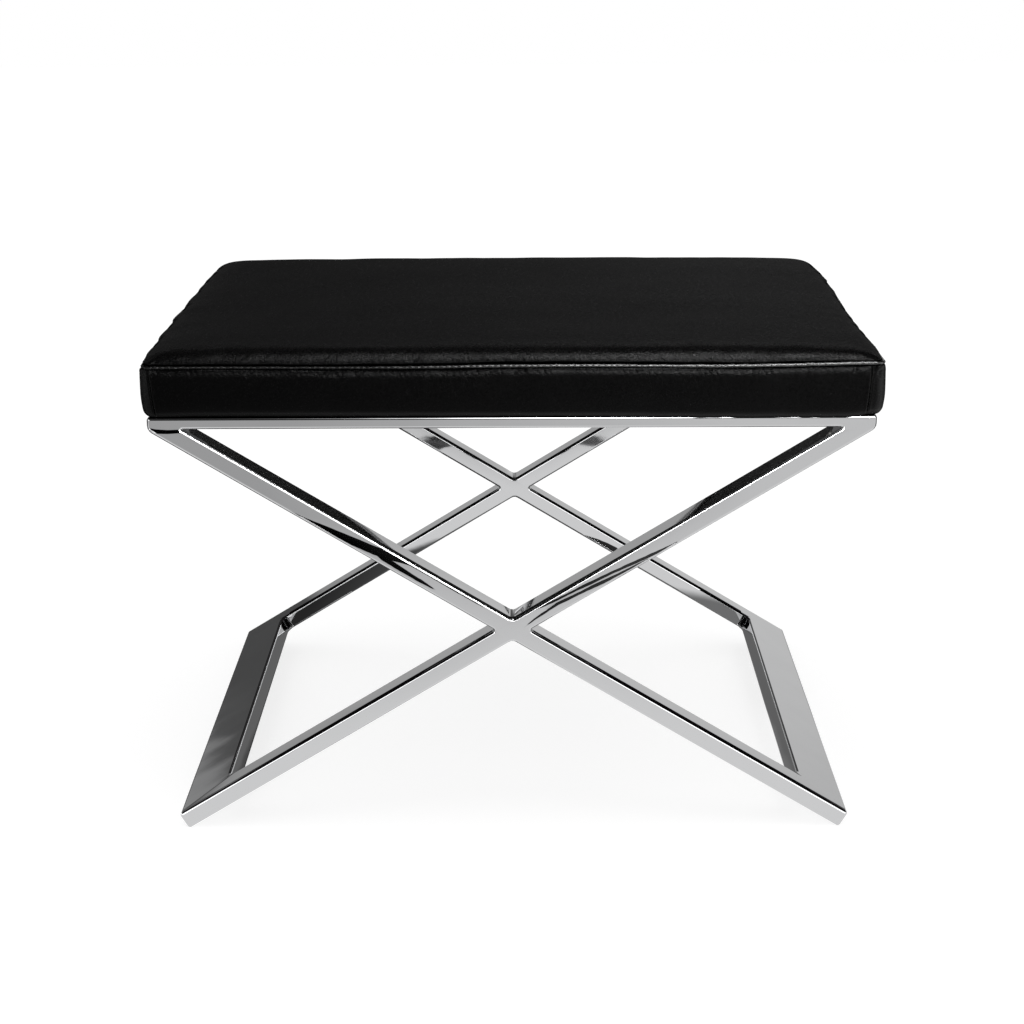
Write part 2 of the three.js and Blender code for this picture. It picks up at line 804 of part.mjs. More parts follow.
function addFrame(stool, side, parts) {
  const frame = new THREE.Group();
  frame.position.set(0, frameFront, crossingHeight);
  addMesh(frame, `${side}_long_leg`, geometryOf(parts.longLeg), steel);
  addMesh(frame, `${side}_upper_half_leg`, geometryOf(parts.upperHalfLeg), steel);
  addMesh(frame, `${side}_lower_half_leg`, geometryOf(parts.lowerHalfLeg), steel);
  addMesh(frame, `${side}_top_rail`, geometryOf(parts.topRail), steel);
  const turnedRound = new THREE.Group();
  turnedRound.rotation.z = side === 'back' ? Math.PI : 0;
  turnedRound.add(frame);
  stool.add(turnedRound);
}

function addRails(stool) {
  const floorRail = makeFloorRail();
  const sideRail = makeSideRail();
  const sideRailX = (sideRailOuter + sideRailInner) / 2;
  const sideRailZ = frameHeight - topRailHeight / 2;
  for (const [side, sign] of [['left', 1], ['right', -1]]) {
    const low = addMesh(stool, `${side}_floor_rail`, floorRail, steel);
    low.position.set(0, frameFront, crossingHeight);
    low.scale.x = sign;
    const high = addMesh(stool, `${side}_side_rail`, sideRail, steel);
    high.position.set(-sign * sideRailX, 0, sideRailZ);
  }
}

function addSeatFixings(stool) {
  const tab = makeTab();
  const fixings = [
    ['screw', makeScrew(), screwHeadTop],
    ['washer', makeWasher(), washerTop],
    ['tee_nut', makeTeeNut(), boardTop],
  ];
  for (const [x, y] of seatCorners()) {
    const place = `${y < 0 ? 'front' : 'back'}_${x < 0 ? 'left' : 'right'}`;
    const plateMesh = addMesh(stool, `${place}_tab`, tab, steel);
    const tabX = Math.sign(x) * (sideRailInner - weldGap);
    const tabY = Math.sign(y) * (frameInside - weldGap);
    plateMesh.position.set(tabX, tabY, tabTop);
    plateMesh.scale.set(-Math.sign(x), -Math.sign(y), 1);
    for (const [kind, geometry, height] of fixings) {
      addMesh(stool, `${place}_${kind}`, geometry, zinc).position.set(x, y, height);
    }
  }
}

function addSeat(stool) {
  addMesh(stool, 'seat_board', makeBoard(), plywood);
  addMesh(stool, 'foam_block', makeFoam(), foam);
  addMesh(stool, 'top_panel', makeTopPanel(), leather);
  for (const [side, band] of Object.entries(makeBands())) {
    addMesh(stool, `${side}_band`, band, leather);
  }
  addMesh(stool, 'dust_cover', makeDustCover(), backing);
}

const stool = new THREE.Group();
const frameParts = makeFrameParts();
addFrame(stool, 'front', frameParts);
addFrame(stool, 'back', frameParts);
addRails(stool);
addSeatFixings(stool);
addSeat(stool);

export default stool;
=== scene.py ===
"""X frame stool: polished steel frame and a box-edged leather seat, in a white studio."""

import math

import bpy
import numpy as np
from mathutils import Matrix, Vector


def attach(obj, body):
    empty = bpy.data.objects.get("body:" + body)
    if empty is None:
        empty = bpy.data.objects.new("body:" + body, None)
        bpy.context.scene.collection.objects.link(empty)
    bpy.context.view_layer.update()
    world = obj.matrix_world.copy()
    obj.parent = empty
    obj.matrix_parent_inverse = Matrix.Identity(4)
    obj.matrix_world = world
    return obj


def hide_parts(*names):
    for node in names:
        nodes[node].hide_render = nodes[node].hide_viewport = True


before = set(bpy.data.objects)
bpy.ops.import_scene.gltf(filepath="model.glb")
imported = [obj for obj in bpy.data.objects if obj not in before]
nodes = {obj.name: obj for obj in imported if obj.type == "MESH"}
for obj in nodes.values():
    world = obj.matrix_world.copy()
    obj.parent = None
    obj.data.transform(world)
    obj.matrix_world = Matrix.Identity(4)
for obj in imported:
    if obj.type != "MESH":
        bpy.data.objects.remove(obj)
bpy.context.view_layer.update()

MM = 0.001

# The stool in millimetres, as the frame has it
LEG_ANGLE = math.radians(31.4)
SINE = math.sin(LEG_ANGLE)
COSINE = math.cos(LEG_ANGLE)
HALF_FACE = 8.0
LEG_DEPTH = 30.0
FRAME_DEPTH = 505.0
CROSSING_TO_FOOT = 350.0
CROSSING_HEIGHT = 187.985
RAIL_UNDERSIDE = 371.5
RAIL_END = 313.7
FLOOR_RAIL_WIDTH = 50.0
WELD_GAP = 0.3
SIDE_RAIL_INNER = 281.7
FRAME_INSIDE = 222.5

# The seat
HALF_WIDTH = 317.9
HALF_DEPTH = 256.5
SEAT_SHIFT = 0.9
CORNER_RADIUS = 10.0
SEAT_BOTTOM = 382.3
LOWER_RADIUS = 6.0
SEAM_HEIGHT = 428.3
CROWN_HEIGHT = 14.5
CROWN_SOFTNESS = 8.0
CROWN_SLOW_SOFTNESS = 45.0
CROWN_SLOW_SHARE = 0.25
BULGE = 1.1
SEAM_DRAW_IN = 1.0
STITCH_COUNT = 439
BAND_TOP = 424.6
BAND_ROLL = 7.2
BAND_ROLL_DEPTH = 3.4
WELT_HEIGHT = 426.7
WELT_INSET = 2.0
WELT_RADIUS = 1.5
PANEL_INSET = 1.8
FOLD_HALF_WIDTH = 272.7
FOLD_HALF_DEPTH = 213.5


# Objects from arrays


def new_piece(name, points, faces, material, smooth=True):
    """A piece from points in millimetres and faces, riding on the one body."""
    mesh = bpy.data.meshes.new(name)
    mesh.from_pydata((np.asarray(points) * MM).tolist(), [], faces)
    mesh.update()
    mesh.polygons.foreach_set("use_smooth", [smooth] * len(mesh.polygons))
    piece = bpy.data.objects.new(name, mesh)
    bpy.context.scene.collection.objects.link(piece)
    piece.data.materials.append(material)
    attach(piece, "root")
    return piece


def grid_faces(rows, columns, closed=False, start=0):
    """Quads over a grid of points, row by row."""
    across = columns if closed else columns - 1
    faces = []
    for i in range(rows - 1):
        low = start + i * columns
        high = low + columns
        for j in range(across):
            k = (j + 1) % columns
            faces.append((low + j, low + k, high + k, high + j))
    return faces


# Shader graphs


class Graph:
    """Adds shader nodes to an emptied node tree and links them."""

    def __init__(self, tree):
        self.tree = tree
        tree.nodes.clear()

    def add(self, kind, inputs=None, **settings):
        node = self.tree.nodes.new(kind)
        for name, value in settings.items():
            setattr(node, name, value)
        for key, value in (inputs or {}).items():
            self.feed(node.inputs[key], value)
        return node

    def feed(self, socket, value):
        if isinstance(value, bpy.types.NodeSocket):
            self.tree.links.new(value, socket)
        else:
            socket.default_value = value

    def math(self, operation, *values):
        node = self.add("ShaderNodeMath", operation=operation)
        for socket, value in zip(node.inputs, values):
            self.feed(socket, value)
        return node.outputs[0]

    def chain(self, operation, first, *others):
        """One operation over several values, from the left."""
        for other in others:
            first = self.math(operation, first, other)
        return first

    def times(self, *values):
        return self.chain("MULTIPLY", *values)

    def plus(self, *values):
        return self.chain("ADD", *values)

    def largest(self, *values):
        return self.chain("MAXIMUM", *values)

    def minus(self, a, b):
        return self.math("SUBTRACT", a, b)

    def axes(self, vector):
        return self.add("ShaderNodeSeparateXYZ", {0: vector}).outputs

    def vector(self, x, y, z):
        return self.add("ShaderNodeCombineXYZ", {0: x, 1: y, 2: z}).outputs[0]

    def outward(self):
        """The direction that the surface faces."""
        return self.add("ShaderNodeNewGeometry").outputs["Normal"]

    def span(self, value, low, high, to_low=0.0, to_high=1.0, smooth=False):
        kind = "SMOOTHSTEP" if smooth else "LINEAR"
        inputs = dict(enumerate((value, low, high, to_low, to_high)))
        return self.add("ShaderNodeMapRange", inputs, interpolation_type=kind).outputs[0]

    def mix(self, share, a, b):
        inputs = {0: share, 2: a, 3: b}
        return self.add("ShaderNodeMix", inputs, data_type="FLOAT").outputs[0]

    def mix_vector(self, share, a, b):
        inputs = {0: share, 4: a, 5: b}
        return self.add("ShaderNodeMix", inputs, data_type="VECTOR").outputs[1]

    def mix_colour(self, share, a, b):
        inputs = {0: share, 6: a, 7: b}
        return self.add("ShaderNodeMix", inputs, data_type="RGBA").outputs[2]

    def ramp(self, value, stops):
        """A value looked up between stops of (place, result)."""
        node = self.add("ShaderNodeFloatCurve")
        curve = node.mapping.curves[0]
        for place, result in stops[1:-1]:
            curve.points.new(place, result)
        for point, (place, result) in zip(curve.points, stops):
            point.location = (place, result)
            point.handle_type = "VECTOR"
        node.mapping.update()
        self.feed(node.inputs["Value"], value)
        return node.outputs[0]

    def noise(self, place, scale, detail=2.0, roughness=0.5, distortion=0.0):
        names = ("Vector", "Scale", "Detail", "Roughness", "Distortion")
        values = (place, scale, detail, roughness, distortion)
        return self.add("ShaderNodeTexNoise", dict(zip(names, values))).outputs["Fac"]

    def stretched(self, place, scale, turn=(0.0, 0.0, 0.0)):
        inputs = {"Vector": place, "Scale": scale, "Rotation": turn}
        return self.add("ShaderNodeMapping", inputs).outputs[0]

    def bump(self, height, distance, strength=1.0, normal=None):
        inputs = {"Height": height, "Distance": distance, "Strength": strength}
        if normal is not None:
            inputs["Normal"] = normal
        return self.add("ShaderNodeBump", inputs=inputs).outputs[0]

    def shader(self, kind, **inputs):
        """A shader, with its inputs named with underscores for spaces."""
        named = {key.replace("_", " "): value for key, value in inputs.items()}
        return self.add(kind, named).outputs[0]

    def mix_shaders(self, share, a, b):
        return self.add("ShaderNodeMixShader", {0: share, 1: a, 2: b}).outputs[0]

    def by_ray(self, to_camera, to_mirrors, to_rest):
        """One shader for camera rays, one for glossy rays and one for all others."""
        path = self.add("ShaderNodeLightPath").outputs
        unseen = self.mix_shaders(path["Is Glossy Ray"], to_rest, to_mirrors)
        return self.mix_shaders(path["Is Camera Ray"], unseen, to_camera)

    def show(self, shader, output="ShaderNodeOutputMaterial"):
        self.feed(self.add(output).inputs["Surface"], shader)


def new_material(name):
    material = bpy.data.materials.new(name)
    material.use_nodes = True
    graph = Graph(material.node_tree)
    place = graph.add("ShaderNodeTexCoord").outputs["Object"]
    return material, graph, place


def finish_surface(graph, **inputs):
    graph.show(graph.shader("ShaderNodeBsdfPrincipled", **inputs))


def grey(value):
    return (value, value, value, 1.0)


# Materials


def profile(graph, value, stops):
    """A value looked up between stops of (place, result) of any size."""
    places, results = zip(*stops)
    low, high = min(results), max(results)
    reach = places[-1] - places[0]
    shares = [((a - places[0]) / reach, (b - low) / (high - low)) for a, b in stops]
    share = graph.ramp(graph.span(value, places[0], places[-1]), shares)
    return graph.span(share, 0.0, 1.0, low, high)


# Where the front legs mirror the dark room. Each streak has its strength, then stops of
# millimetres from the crossing, height across the face and half width
RISING_STREAKS = (
    (1.0, (24, 5.6, 0), (47, 4.2, 0.9), (75, 2.2, 1.0), (100, 0.2, 1.2))
    + ((145, -4.8, 1.1), (180, -7.2, 0)),
    (1.0, (8, -3.2, 0), (22, -1.2, 0.7), (47, 0.4, 1.1), (100, -3.9, 1.2))
    + ((125, -5.6, 0.8), (150, -6.8, 0)),
    (0.3, (30, 1.8, 0), (50, 2.3, 1.4), (75, 0.4, 1.6), (100, -1.8, 1.4), (122, -3.6, 0)),
)
FALLING_STREAKS = (
    (1.0, (104, 6.0, 0), (112, 5.2, 1.0), (125, 3.2, 2.4), (140, 1.0, 3.6), (161, -1.6, 3.4))
    + ((190, -4.4, 2.0), (212, -6.2, 0.9), (236, -7.4, 0)),
    (0.9, (76, -2.8, 0), (92, -2.6, 1.3), (112, -2.2, 1.9), (132, -1.2, 2.0), (142, -0.6, 0)),
    (0.8, (24, 5.2, 0), (40, 5.4, 0.5), (104, 5.9, 0.7), (122, 5.9, 0.8), (150, 6.4, 0)),
)
# The streak on the right lower leg of the back frame, hidden further out by the front frame
BACK_STREAK = (0.72, (84, 8.0, 0), (96, 6.6, 1.4), (110, 4.8, 2.8), (122, 3.8, 3.4), (138, 3.0, 3.6))
BACK_STREAK_END = (136, 132)
# The dark hollow under the front rail's left end, by millimetres left of the middle and height
CORNER_STREAK = (0.9, (275, 370.6, 0), (284, 369.9, 0.9), (296, 369.4, 1.3))
CORNER_STREAK += ((306, 369.8, 1.5), (314, 371.5, 1.6))
STREAK_TILT = 0.25
# How far top faces lean back: on the upper half of the rising leg, on that of the falling leg
# near the crossing and at its upper end, and on the left floor rail and the back leg beside it,
# which start at a mitre
RISING_TIP = 0.02
FALLING_TIP = -0.009
FALLING_END_TIP = 0.05
LEFT_TIP = -0.105
MITRE_X = -0.31
FRONT_FACE_Y = -0.2525
BACK_FACE_Y = 0.2225
# The rolled front margin of the top faces: its reach behind the front face, what the rising leg
# adds at the crossing and further out, its lean, and how far out it goes on the back frame
MARGIN_REACH = 0.0065
RISING_MARGIN = 0.001
RISING_MARGIN_END = -0.004
MARGIN_TIP = -0.16
RAIL_INSIDE = 0.252
# How far the fillets at the back feet turn up
FOOT_FILLET_LEAN = 0.4
FOOT_TOP = 0.07
# How much further the front edges turn outward than their round form
EDGE_TURN = 1.0
# The lit part of the upper legs' front edges: where each ends round the edge, as the y of the
# normal there, and the way it faces
FALLING_LIT_TO = -0.8
RISING_LIT_TO = -0.955
LIT_NORMAL = (0.0, -0.92, 0.395)
FALLING_LIT_TURN = -0.27
FALLING_LIT_LEAN = -0.02


class FramePlace:
    """Nodes that tell where a point lies on the frame and which way it faces."""

    def __init__(self, graph, place):
        self.x, self.y, self.z = graph.axes(place)
        self.facing_x, self.facing_y, self.facing_z = graph.axes(graph.outward())
        across = graph.times(graph.math("ABSOLUTE", self.x), 1 / MM)
        self.rise = graph.minus(graph.times(self.z, 1 / MM), CROSSING_HEIGHT)
        height = graph.math("ABSOLUTE", self.rise)
        self.along = graph.plus(graph.times(across, COSINE), graph.times(height, SINE))
        self.off = graph.minus(graph.times(height, COSINE), graph.times(across, SINE))
        self.right = graph.math("GREATER_THAN", self.x, 0.0)
        self.above = graph.math("GREATER_THAN", self.rise, 0.0)
        self.in_front = graph.math("LESS_THAN", self.y, 0.0)
        self.behind = graph.minus(1.0, self.in_front)
        self.upper_front = graph.times(self.above, self.in_front)
        self.on_top = graph.span(self.facing_z, 0.8, 0.84)


def streak(graph, along, off, wave, shape):
    """The streak's strength on it, falling to none beside it and at its ends."""
    strength, stops = shape[0], shape[1:]
    middle = profile(graph, along, [(a, b) for a, b, _ in stops])
    half = profile(graph, along, [(a, c) for a, _, c in stops])
    off_middle = graph.math("ABSOLUTE", graph.minus(off, middle))
    inside = graph.minus(graph.plus(half, wave), off_middle)
    ends = graph.span(half, 0.05, 0.5)
    return graph.times(graph.span(inside, -0.7, 0.5, smooth=True), ends, strength)


def streak_lean(graph, spot, place):
    """How far the front faces lean up at the dark streaks."""
    strands = graph.noise(graph.stretched(place, (14.0, 14.0, 90.0)), 1.0, 3.0, 0.6)
    wave = graph.span(strands, 0.2, 0.8, -0.55, 0.55)
    legs = []
    for shapes in (FALLING_STREAKS, RISING_STREAKS):
        bands = [streak(graph, spot.along, spot.off, wave, shape) for shape in shapes]
        legs.append(graph.largest(*bands))
    front = graph.times(graph.mix(spot.right, *legs), spot.upper_front)
    back = streak(graph, spot.along, spot.off, wave, BACK_STREAK)
    back = graph.times(back, graph.span(spot.along, *BACK_STREAK_END))
    back = graph.times(back, graph.times(spot.right, spot.behind, graph.minus(1.0, spot.above)))
    leftward = graph.times(spot.x, -1 / MM)
    corner = streak(graph, leftward, graph.times(spot.z, 1 / MM), wave, CORNER_STREAK)
    band = graph.largest(front, graph.times(corner, spot.in_front), back)
    return graph.times(band, graph.span(spot.facing_y, -0.93, -0.985), STREAK_TILT)


def top_lean(graph, spot):
    """How far the top faces lean back, and forward on the rolled margins at their front."""
    falling_tip = graph.span(spot.x, -0.13, -0.24, FALLING_TIP, FALLING_END_TIP)
    tip = graph.mix(spot.right, falling_tip, RISING_TIP)
    tip = graph.times(spot.upper_front, spot.on_top, tip)
    face_y = graph.mix(spot.in_front, BACK_FACE_Y, FRONT_FACE_Y)
    reach = graph.span(spot.x, 0.03, 0.15, RISING_MARGIN, RISING_MARGIN_END)
    reach = graph.times(graph.times(spot.right, spot.upper_front), reach)
    reach = graph.plus(reach, MARGIN_REACH, face_y)
    margin = graph.span(graph.minus(spot.y, reach), 0.0004, -0.0004)
    margin = graph.times(margin, graph.math("GREATER_THAN", spot.y, graph.minus(face_y, 0.001)))
    beside_rail = graph.times(graph.math("ABSOLUTE", spot.x), graph.span(spot.y, -0.05, 0.05))
    margin = graph.times(margin, graph.math("LESS_THAN", beside_rail, RAIL_INSIDE))
    margin = graph.times(margin, spot.on_top, MARGIN_TIP)
    mitre = graph.minus(spot.y, graph.times(graph.minus(spot.x, MITRE_X), 0.5))
    mitre = graph.span(mitre, FRONT_FACE_Y, FRONT_FACE_Y + 0.003)
    bow = graph.times(graph.span(spot.x, -0.04, -0.24), graph.span(spot.y, -0.24, 0.0, 0.8, 1.0))
    bow = graph.times(bow, spot.on_top, LEFT_TIP, mitre, graph.span(spot.rise, 0, -10))
    return graph.plus(tip, margin, bow)


def foot_lean(graph, spot):
    """How far the fillets at the back feet turn up."""
    at_foot = graph.times(graph.math("LESS_THAN", spot.z, FOOT_TOP), spot.behind)
    at_foot = graph.times(at_foot, graph.span(spot.facing_y, -0.99, -0.95))
    return graph.times(at_foot, graph.span(spot.facing_y, -0.2, -0.4), FOOT_FILLET_LEAN)


def lit_edges(graph, spot, normal):
    """Turns the upper legs' front edges to the light, where they begin to bend back."""
    lit_to = graph.mix(spot.right, FALLING_LIT_TO, RISING_LIT_TO)
    lit = graph.span(graph.minus(lit_to, spot.facing_y), -0.03, 0.03)
    lit = graph.times(lit, graph.span(spot.facing_y, -0.997, -0.988))
    lit = graph.times(lit, graph.math("GREATER_THAN", spot.facing_z, 0.0))
    lit = graph.times(lit, graph.math("LESS_THAN", spot.z, RAIL_UNDERSIDE * MM), spot.upper_front)
    falling_x = graph.plus(graph.times(spot.x, FALLING_LIT_TURN), FALLING_LIT_LEAN)
    facing = graph.vector(graph.mix(spot.right, falling_x, LIT_NORMAL[0]), *LIT_NORMAL[1:])
    return graph.mix_vector(lit, normal, facing)


def warped_normal(graph, place, normal):
    """The normal, tilted a little where welding and polishing have warped the tubes."""
    spot = FramePlace(graph, place)
    turn = graph.times(spot.facing_x, graph.span(spot.facing_y, -0.35, -0.75, 0.0, EDGE_TURN))
    lean = graph.plus(streak_lean(graph, spot, place), foot_lean(graph, spot))
    tilt = graph.vector(turn, top_lean(graph, spot), lean)
    total = graph.add("ShaderNodeVectorMath", {0: normal, 1: tilt}, operation="ADD").outputs[0]
    total = lit_edges(graph, spot, total)
    return graph.add("ShaderNodeVectorMath", {0: total}, operation="NORMALIZE").outputs[0]


def polished_steel():
    material, graph, place = new_material("polished_steel")
    smudge = graph.noise(place, 9.0, 4.0, 0.6)
    hairline_place = graph.stretched(place, (30.0, 30.0, 900.0), (0.0, 0.3, 0.0))
    hairlines = graph.noise(hairline_place, 1.0, 3.0, 0.7)
    wave = graph.noise(place, 14.0, 1.0, 0.4)
    ripple = graph.noise(place, 55.0, 2.0, 0.5)
    colour = graph.mix_colour(smudge, (0.56, 0.562, 0.57, 1.0), (0.6, 0.602, 0.608, 1.0))
    rough = graph.span(smudge, 0.3, 0.75, 0.02, 0.05)
    rough = graph.plus(rough, graph.times(hairlines, 0.015))
    normal = graph.bump(wave, 0.0005)
    normal = graph.bump(ripple, 0.00002, normal=normal)
    normal = graph.bump(hairlines, 0.0000008, normal=normal)
    normal = warped_normal(graph, place, normal)
    finish_surface(graph, Base_Color=colour, Metallic=1.0, Roughness=rough, Normal=normal)
    return material


def leather_grain(graph, place):
    """The pebbled grain, its fine wrinkles and the broad mottling of the hide."""
    warp = graph.noise(place, 120.0, 2.0)
    pebbles = graph.add(
        "ShaderNodeTexVoronoi",
        feature="SMOOTH_F1",
        inputs={"Vector": place, "Scale": 820.0, "Smoothness": 0.5, "Randomness": 0.95},
    ).outputs["Distance"]
    wrinkles = graph.noise(place, 330.0, 4.0, 0.62, 0.6)
    mottle = graph.noise(place, 11.0, 3.0, 0.6)
    grain = graph.plus(graph.times(pebbles, -0.6), wrinkles, graph.times(warp, 0.4))
    return grain, wrinkles, mottle


# The hide's colours, unmottled and mottled: seen straight on, and seen aslant where it faces up,
# which is lighter there as a painted sheen
HIDE_STRAIGHT = ((0.0014, 0.0014, 0.0015, 1.0), (0.0026, 0.0025, 0.0025, 1.0))
HIDE_PAINTED_SHEEN = ((0.0052, 0.0052, 0.0054, 1.0), (0.0086, 0.0084, 0.0084, 1.0))
# Painted shade: the near black colour at the rims and where the hide faces down
PAINTED_RIM_SHADE = 0.0003


def black_leather():
    material, graph, place = new_material("black_leather")
    grain, wrinkles, mottle = leather_grain(graph, place)
    soft = graph.noise(place, 38.0, 2.0, 0.5)
    facing = graph.add("ShaderNodeLayerWeight", inputs={"Blend": 0.5}).outputs["Facing"]
    up = graph.axes(graph.outward())[2]
    # Painted sheen: the colour turns lighter where the hide faces up and is seen aslant
    slant = graph.times(graph.span(facing, 0.55, 0.8), graph.span(up, 0.1, 0.5))
    # Painted shade: near black with little gloss at the rims seen edge on, and where the hide faces
    # down under the seat
    clear_of_painted_rim_shade = graph.span(facing, 0.9, 0.96, 1.0, 0.04, smooth=True)
    clear_of_painted_rim_shade = graph.times(clear_of_painted_rim_shade, graph.span(up, -0.8, -0.4, 0.03, 1.0))
    straight = graph.mix_colour(mottle, *HIDE_STRAIGHT)
    slanting = graph.mix_colour(mottle, *HIDE_PAINTED_SHEEN)
    colour = graph.mix_colour(slant, straight, slanting)
    colour = graph.mix_colour(clear_of_painted_rim_shade, grey(PAINTED_RIM_SHADE), colour)
    rough = graph.span(wrinkles, 0.3, 0.7, 0.2, 0.3)
    rough = graph.plus(rough, graph.times(mottle, 0.06))
    normal = graph.bump(soft, 0.0003)
    normal = graph.bump(grain, 0.0003, normal=normal)
    level = graph.span(facing, 0.06, 0.2, 0.07, 0.2)
    # Painted highlight: the gloss is weaker towards the left, for the light that falls weaker there
    level = graph.times(level, graph.span(graph.axes(place)[0], -0.3, 0.1, 0.36, 1.0))
    glossy = graph.shader(
        "ShaderNodeBsdfPrincipled",
        Base_Color=colour,
        Roughness=rough,
        Specular_IOR_Level=level,
        Normal=normal,
    )
    matte = graph.shader("ShaderNodeBsdfDiffuse", Color=colour, Normal=normal)
    share = graph.times(graph.span(facing, 0.5, 0.8, 1.0, 0.09, smooth=True), clear_of_painted_rim_shade)
    graph.show(graph.mix_shaders(share, matte, glossy))
    return material


def welt_leather():
    """The same hide, pulled tight over a cord and burnished. Its gloss grows from left to right, a
    painted highlight for the light that falls stronger on the right.
    """
    material, graph, place = new_material("welt_leather")
    grain, wrinkles, mottle = leather_grain(graph, place)
    colour = graph.mix_colour(mottle, (0.0034, 0.0034, 0.0034, 1.0), (0.007, 0.0068, 0.0066, 1.0))
    rough = graph.span(wrinkles, 0.3, 0.7, 0.2, 0.3)
    normal = graph.bump(grain, 0.00012)
    # Painted highlight: more gloss to the right, where the light falls stronger
    burnish_and_painted_highlight = graph.span(graph.axes(place)[0], -0.12, 0.04, 0.18, 0.95)
    finish_surface(
        graph, Base_Color=colour, Roughness=rough, Specular_IOR_Level=burnish_and_painted_highlight, Normal=normal
    )
    return material


def seat_foam():
    material, graph, place = new_material("seat_foam")
    cells = graph.add(
        "ShaderNodeTexVoronoi", inputs={"Vector": place, "Scale": 600.0}
    ).outputs["Distance"]
    aged = graph.noise(place, 8.0, 3.0)
    colour = graph.mix_colour(aged, (0.74, 0.68, 0.45, 1.0), (0.8, 0.76, 0.55, 1.0))
    normal = graph.bump(cells, 0.0004)
    finish_surface(graph, Base_Color=colour, Roughness=0.95, Normal=normal)
    return material


def plywood():
    material, graph, place = new_material("plywood")
    layers = graph.add(
        "ShaderNodeTexWave",
        bands_direction="Z",
        inputs={"Vector": place, "Scale": 70.0, "Distortion": 0.3, "Detail": 1.0},
    ).outputs["Fac"]
    grain = graph.noise(graph.stretched(place, (6.0, 160.0, 160.0)), 1.0, 5.0, 0.65, 0.4)
    light = graph.mix_colour(grain, (0.42, 0.25, 0.115, 1.0), (0.6, 0.41, 0.22, 1.0))
    dark = graph.mix_colour(grain, (0.28, 0.15, 0.07, 1.0), (0.42, 0.26, 0.13, 1.0))
    colour = graph.mix_colour(graph.span(layers, 0.35, 0.65), dark, light)
    normal = graph.bump(grain, 0.0002)
    finish_surface(graph, Base_Color=colour, Roughness=0.72, Normal=normal)
    return material


def backing_cloth():
    material, graph, place = new_material("backing_cloth")
    fibres = graph.noise(graph.stretched(place, (900.0, 420.0, 420.0)), 1.0, 3.0, 0.7, 1.2)
    patch = graph.noise(place, 25.0, 3.0)
    colour = graph.mix_colour(fibres, grey(0.006), grey(0.02))
    colour = graph.mix_colour(graph.times(patch, 0.3), colour, grey(0.022))
    normal = graph.bump(fibres, 0.0002)
    finish_surface(graph, Base_Color=colour, Roughness=0.92, Normal=normal)
    return material


def zinc_plate():
    material, graph, place = new_material("zinc_plate")
    tone = graph.noise(place, 260.0, 3.0, 0.6)
    tint = graph.noise(place, 30.0, 2.0)
    colour = graph.mix_colour(tone, (0.34, 0.34, 0.33, 1.0), (0.5, 0.5, 0.5, 1.0))
    colour = graph.mix_colour(graph.times(tint, 0.35), colour, (0.46, 0.43, 0.36, 1.0))
    rough = graph.span(tone, 0.3, 0.7, 0.3, 0.46)
    normal = graph.bump(tone, 0.00005)
    finish_surface(graph, Base_Color=colour, Metallic=1.0, Roughness=rough, Normal=normal)
    return material


STEEL = polished_steel()
LEATHER = black_leather()
WELT = welt_leather()
FOAM = seat_foam()
PLYWOOD = plywood()
BACKING = backing_cloth()
ZINC = zinc_plate()


# Polished tubes. Each one is its CAD node with the weld gaps closed and its faces smoothed


def points_of(mesh):
    points = np.empty(len(mesh.vertices) * 3)
    mesh.vertices.foreach_get("co", points)
    return points.reshape(-1, 3) / MM


def close_welds(points, side):
    """Slides the points that lie on a weld plane along their own tube, on to the middle of it."""
    turn = -1.0 if side == "back" else 1.0
    near = 0.03
    foot_reach = FLOOR_RAIL_WIDTH + 20
    x = points[:, 0] * turn
    y = np.where(points[:, 1] < 0, points[:, 1] + FRAME_DEPTH / 2, FRAME_DEPTH / 2 - points[:, 1])
    z = points[:, 2] - CROSSING_HEIGHT
    moved_x = np.zeros(len(points))
    moved_y = np.zeros(len(points))
    moved_z = np.zeros(len(points))
    across = -x * SINE + z * COSINE
    slide = WELD_GAP / math.sin(2 * LEG_ANGLE)
    for sign in (1.0, -1.0):
        on_joint = np.abs(across * sign - HALF_FACE - WELD_GAP) < near
        moved_x[on_joint] += slide * COSINE * sign
        moved_z[on_joint] -= slide * SINE * sign
    under_rail = np.abs(points[:, 2] - RAIL_UNDERSIDE + WELD_GAP / 2) < near
    over_rail = np.abs(points[:, 2] - RAIL_UNDERSIDE - WELD_GAP / 2) < near
    slope = np.where(np.abs(x) > RAIL_END - 4, 0.0, COSINE / SINE * WELD_GAP / 2)
    moved_z[under_rail] += WELD_GAP / 2
    moved_x[under_rail] += (np.sign(x) * slope)[under_rail]
    moved_z[over_rail] -= WELD_GAP / 2
    along = CROSSING_TO_FOOT - np.abs(x) * COSINE + z * SINE
    mitre = math.hypot(FLOOR_RAIL_WIDTH, LEG_DEPTH)
    off_mitre = (along * LEG_DEPTH - FLOOR_RAIL_WIDTH * y) / mitre
    at_foot = along < foot_reach
    leg_end = at_foot & (np.abs(off_mitre - WELD_GAP / 2) < near)
    rail_end = at_foot & (np.abs(off_mitre + WELD_GAP / 2) < near)
    slide = WELD_GAP / 2 * mitre / LEG_DEPTH
    moved_x[leg_end] += (np.sign(x) * slide * COSINE)[leg_end]
    moved_z[leg_end] -= slide * SINE
    moved_y[rail_end] -= WELD_GAP / 2 * mitre / FLOOR_RAIL_WIDTH
    web_end = (along > FLOOR_RAIL_WIDTH - 1) & (np.abs(y - LEG_DEPTH - WELD_GAP) < near)
    web_end &= at_foot & ~leg_end & ~rail_end
    moved_y[web_end] -= WELD_GAP
    points[:, 0] += moved_x * turn
    points[:, 1] += np.where(points[:, 1] < 0, moved_y, -moved_y)
    points[:, 2] += moved_z
    return points


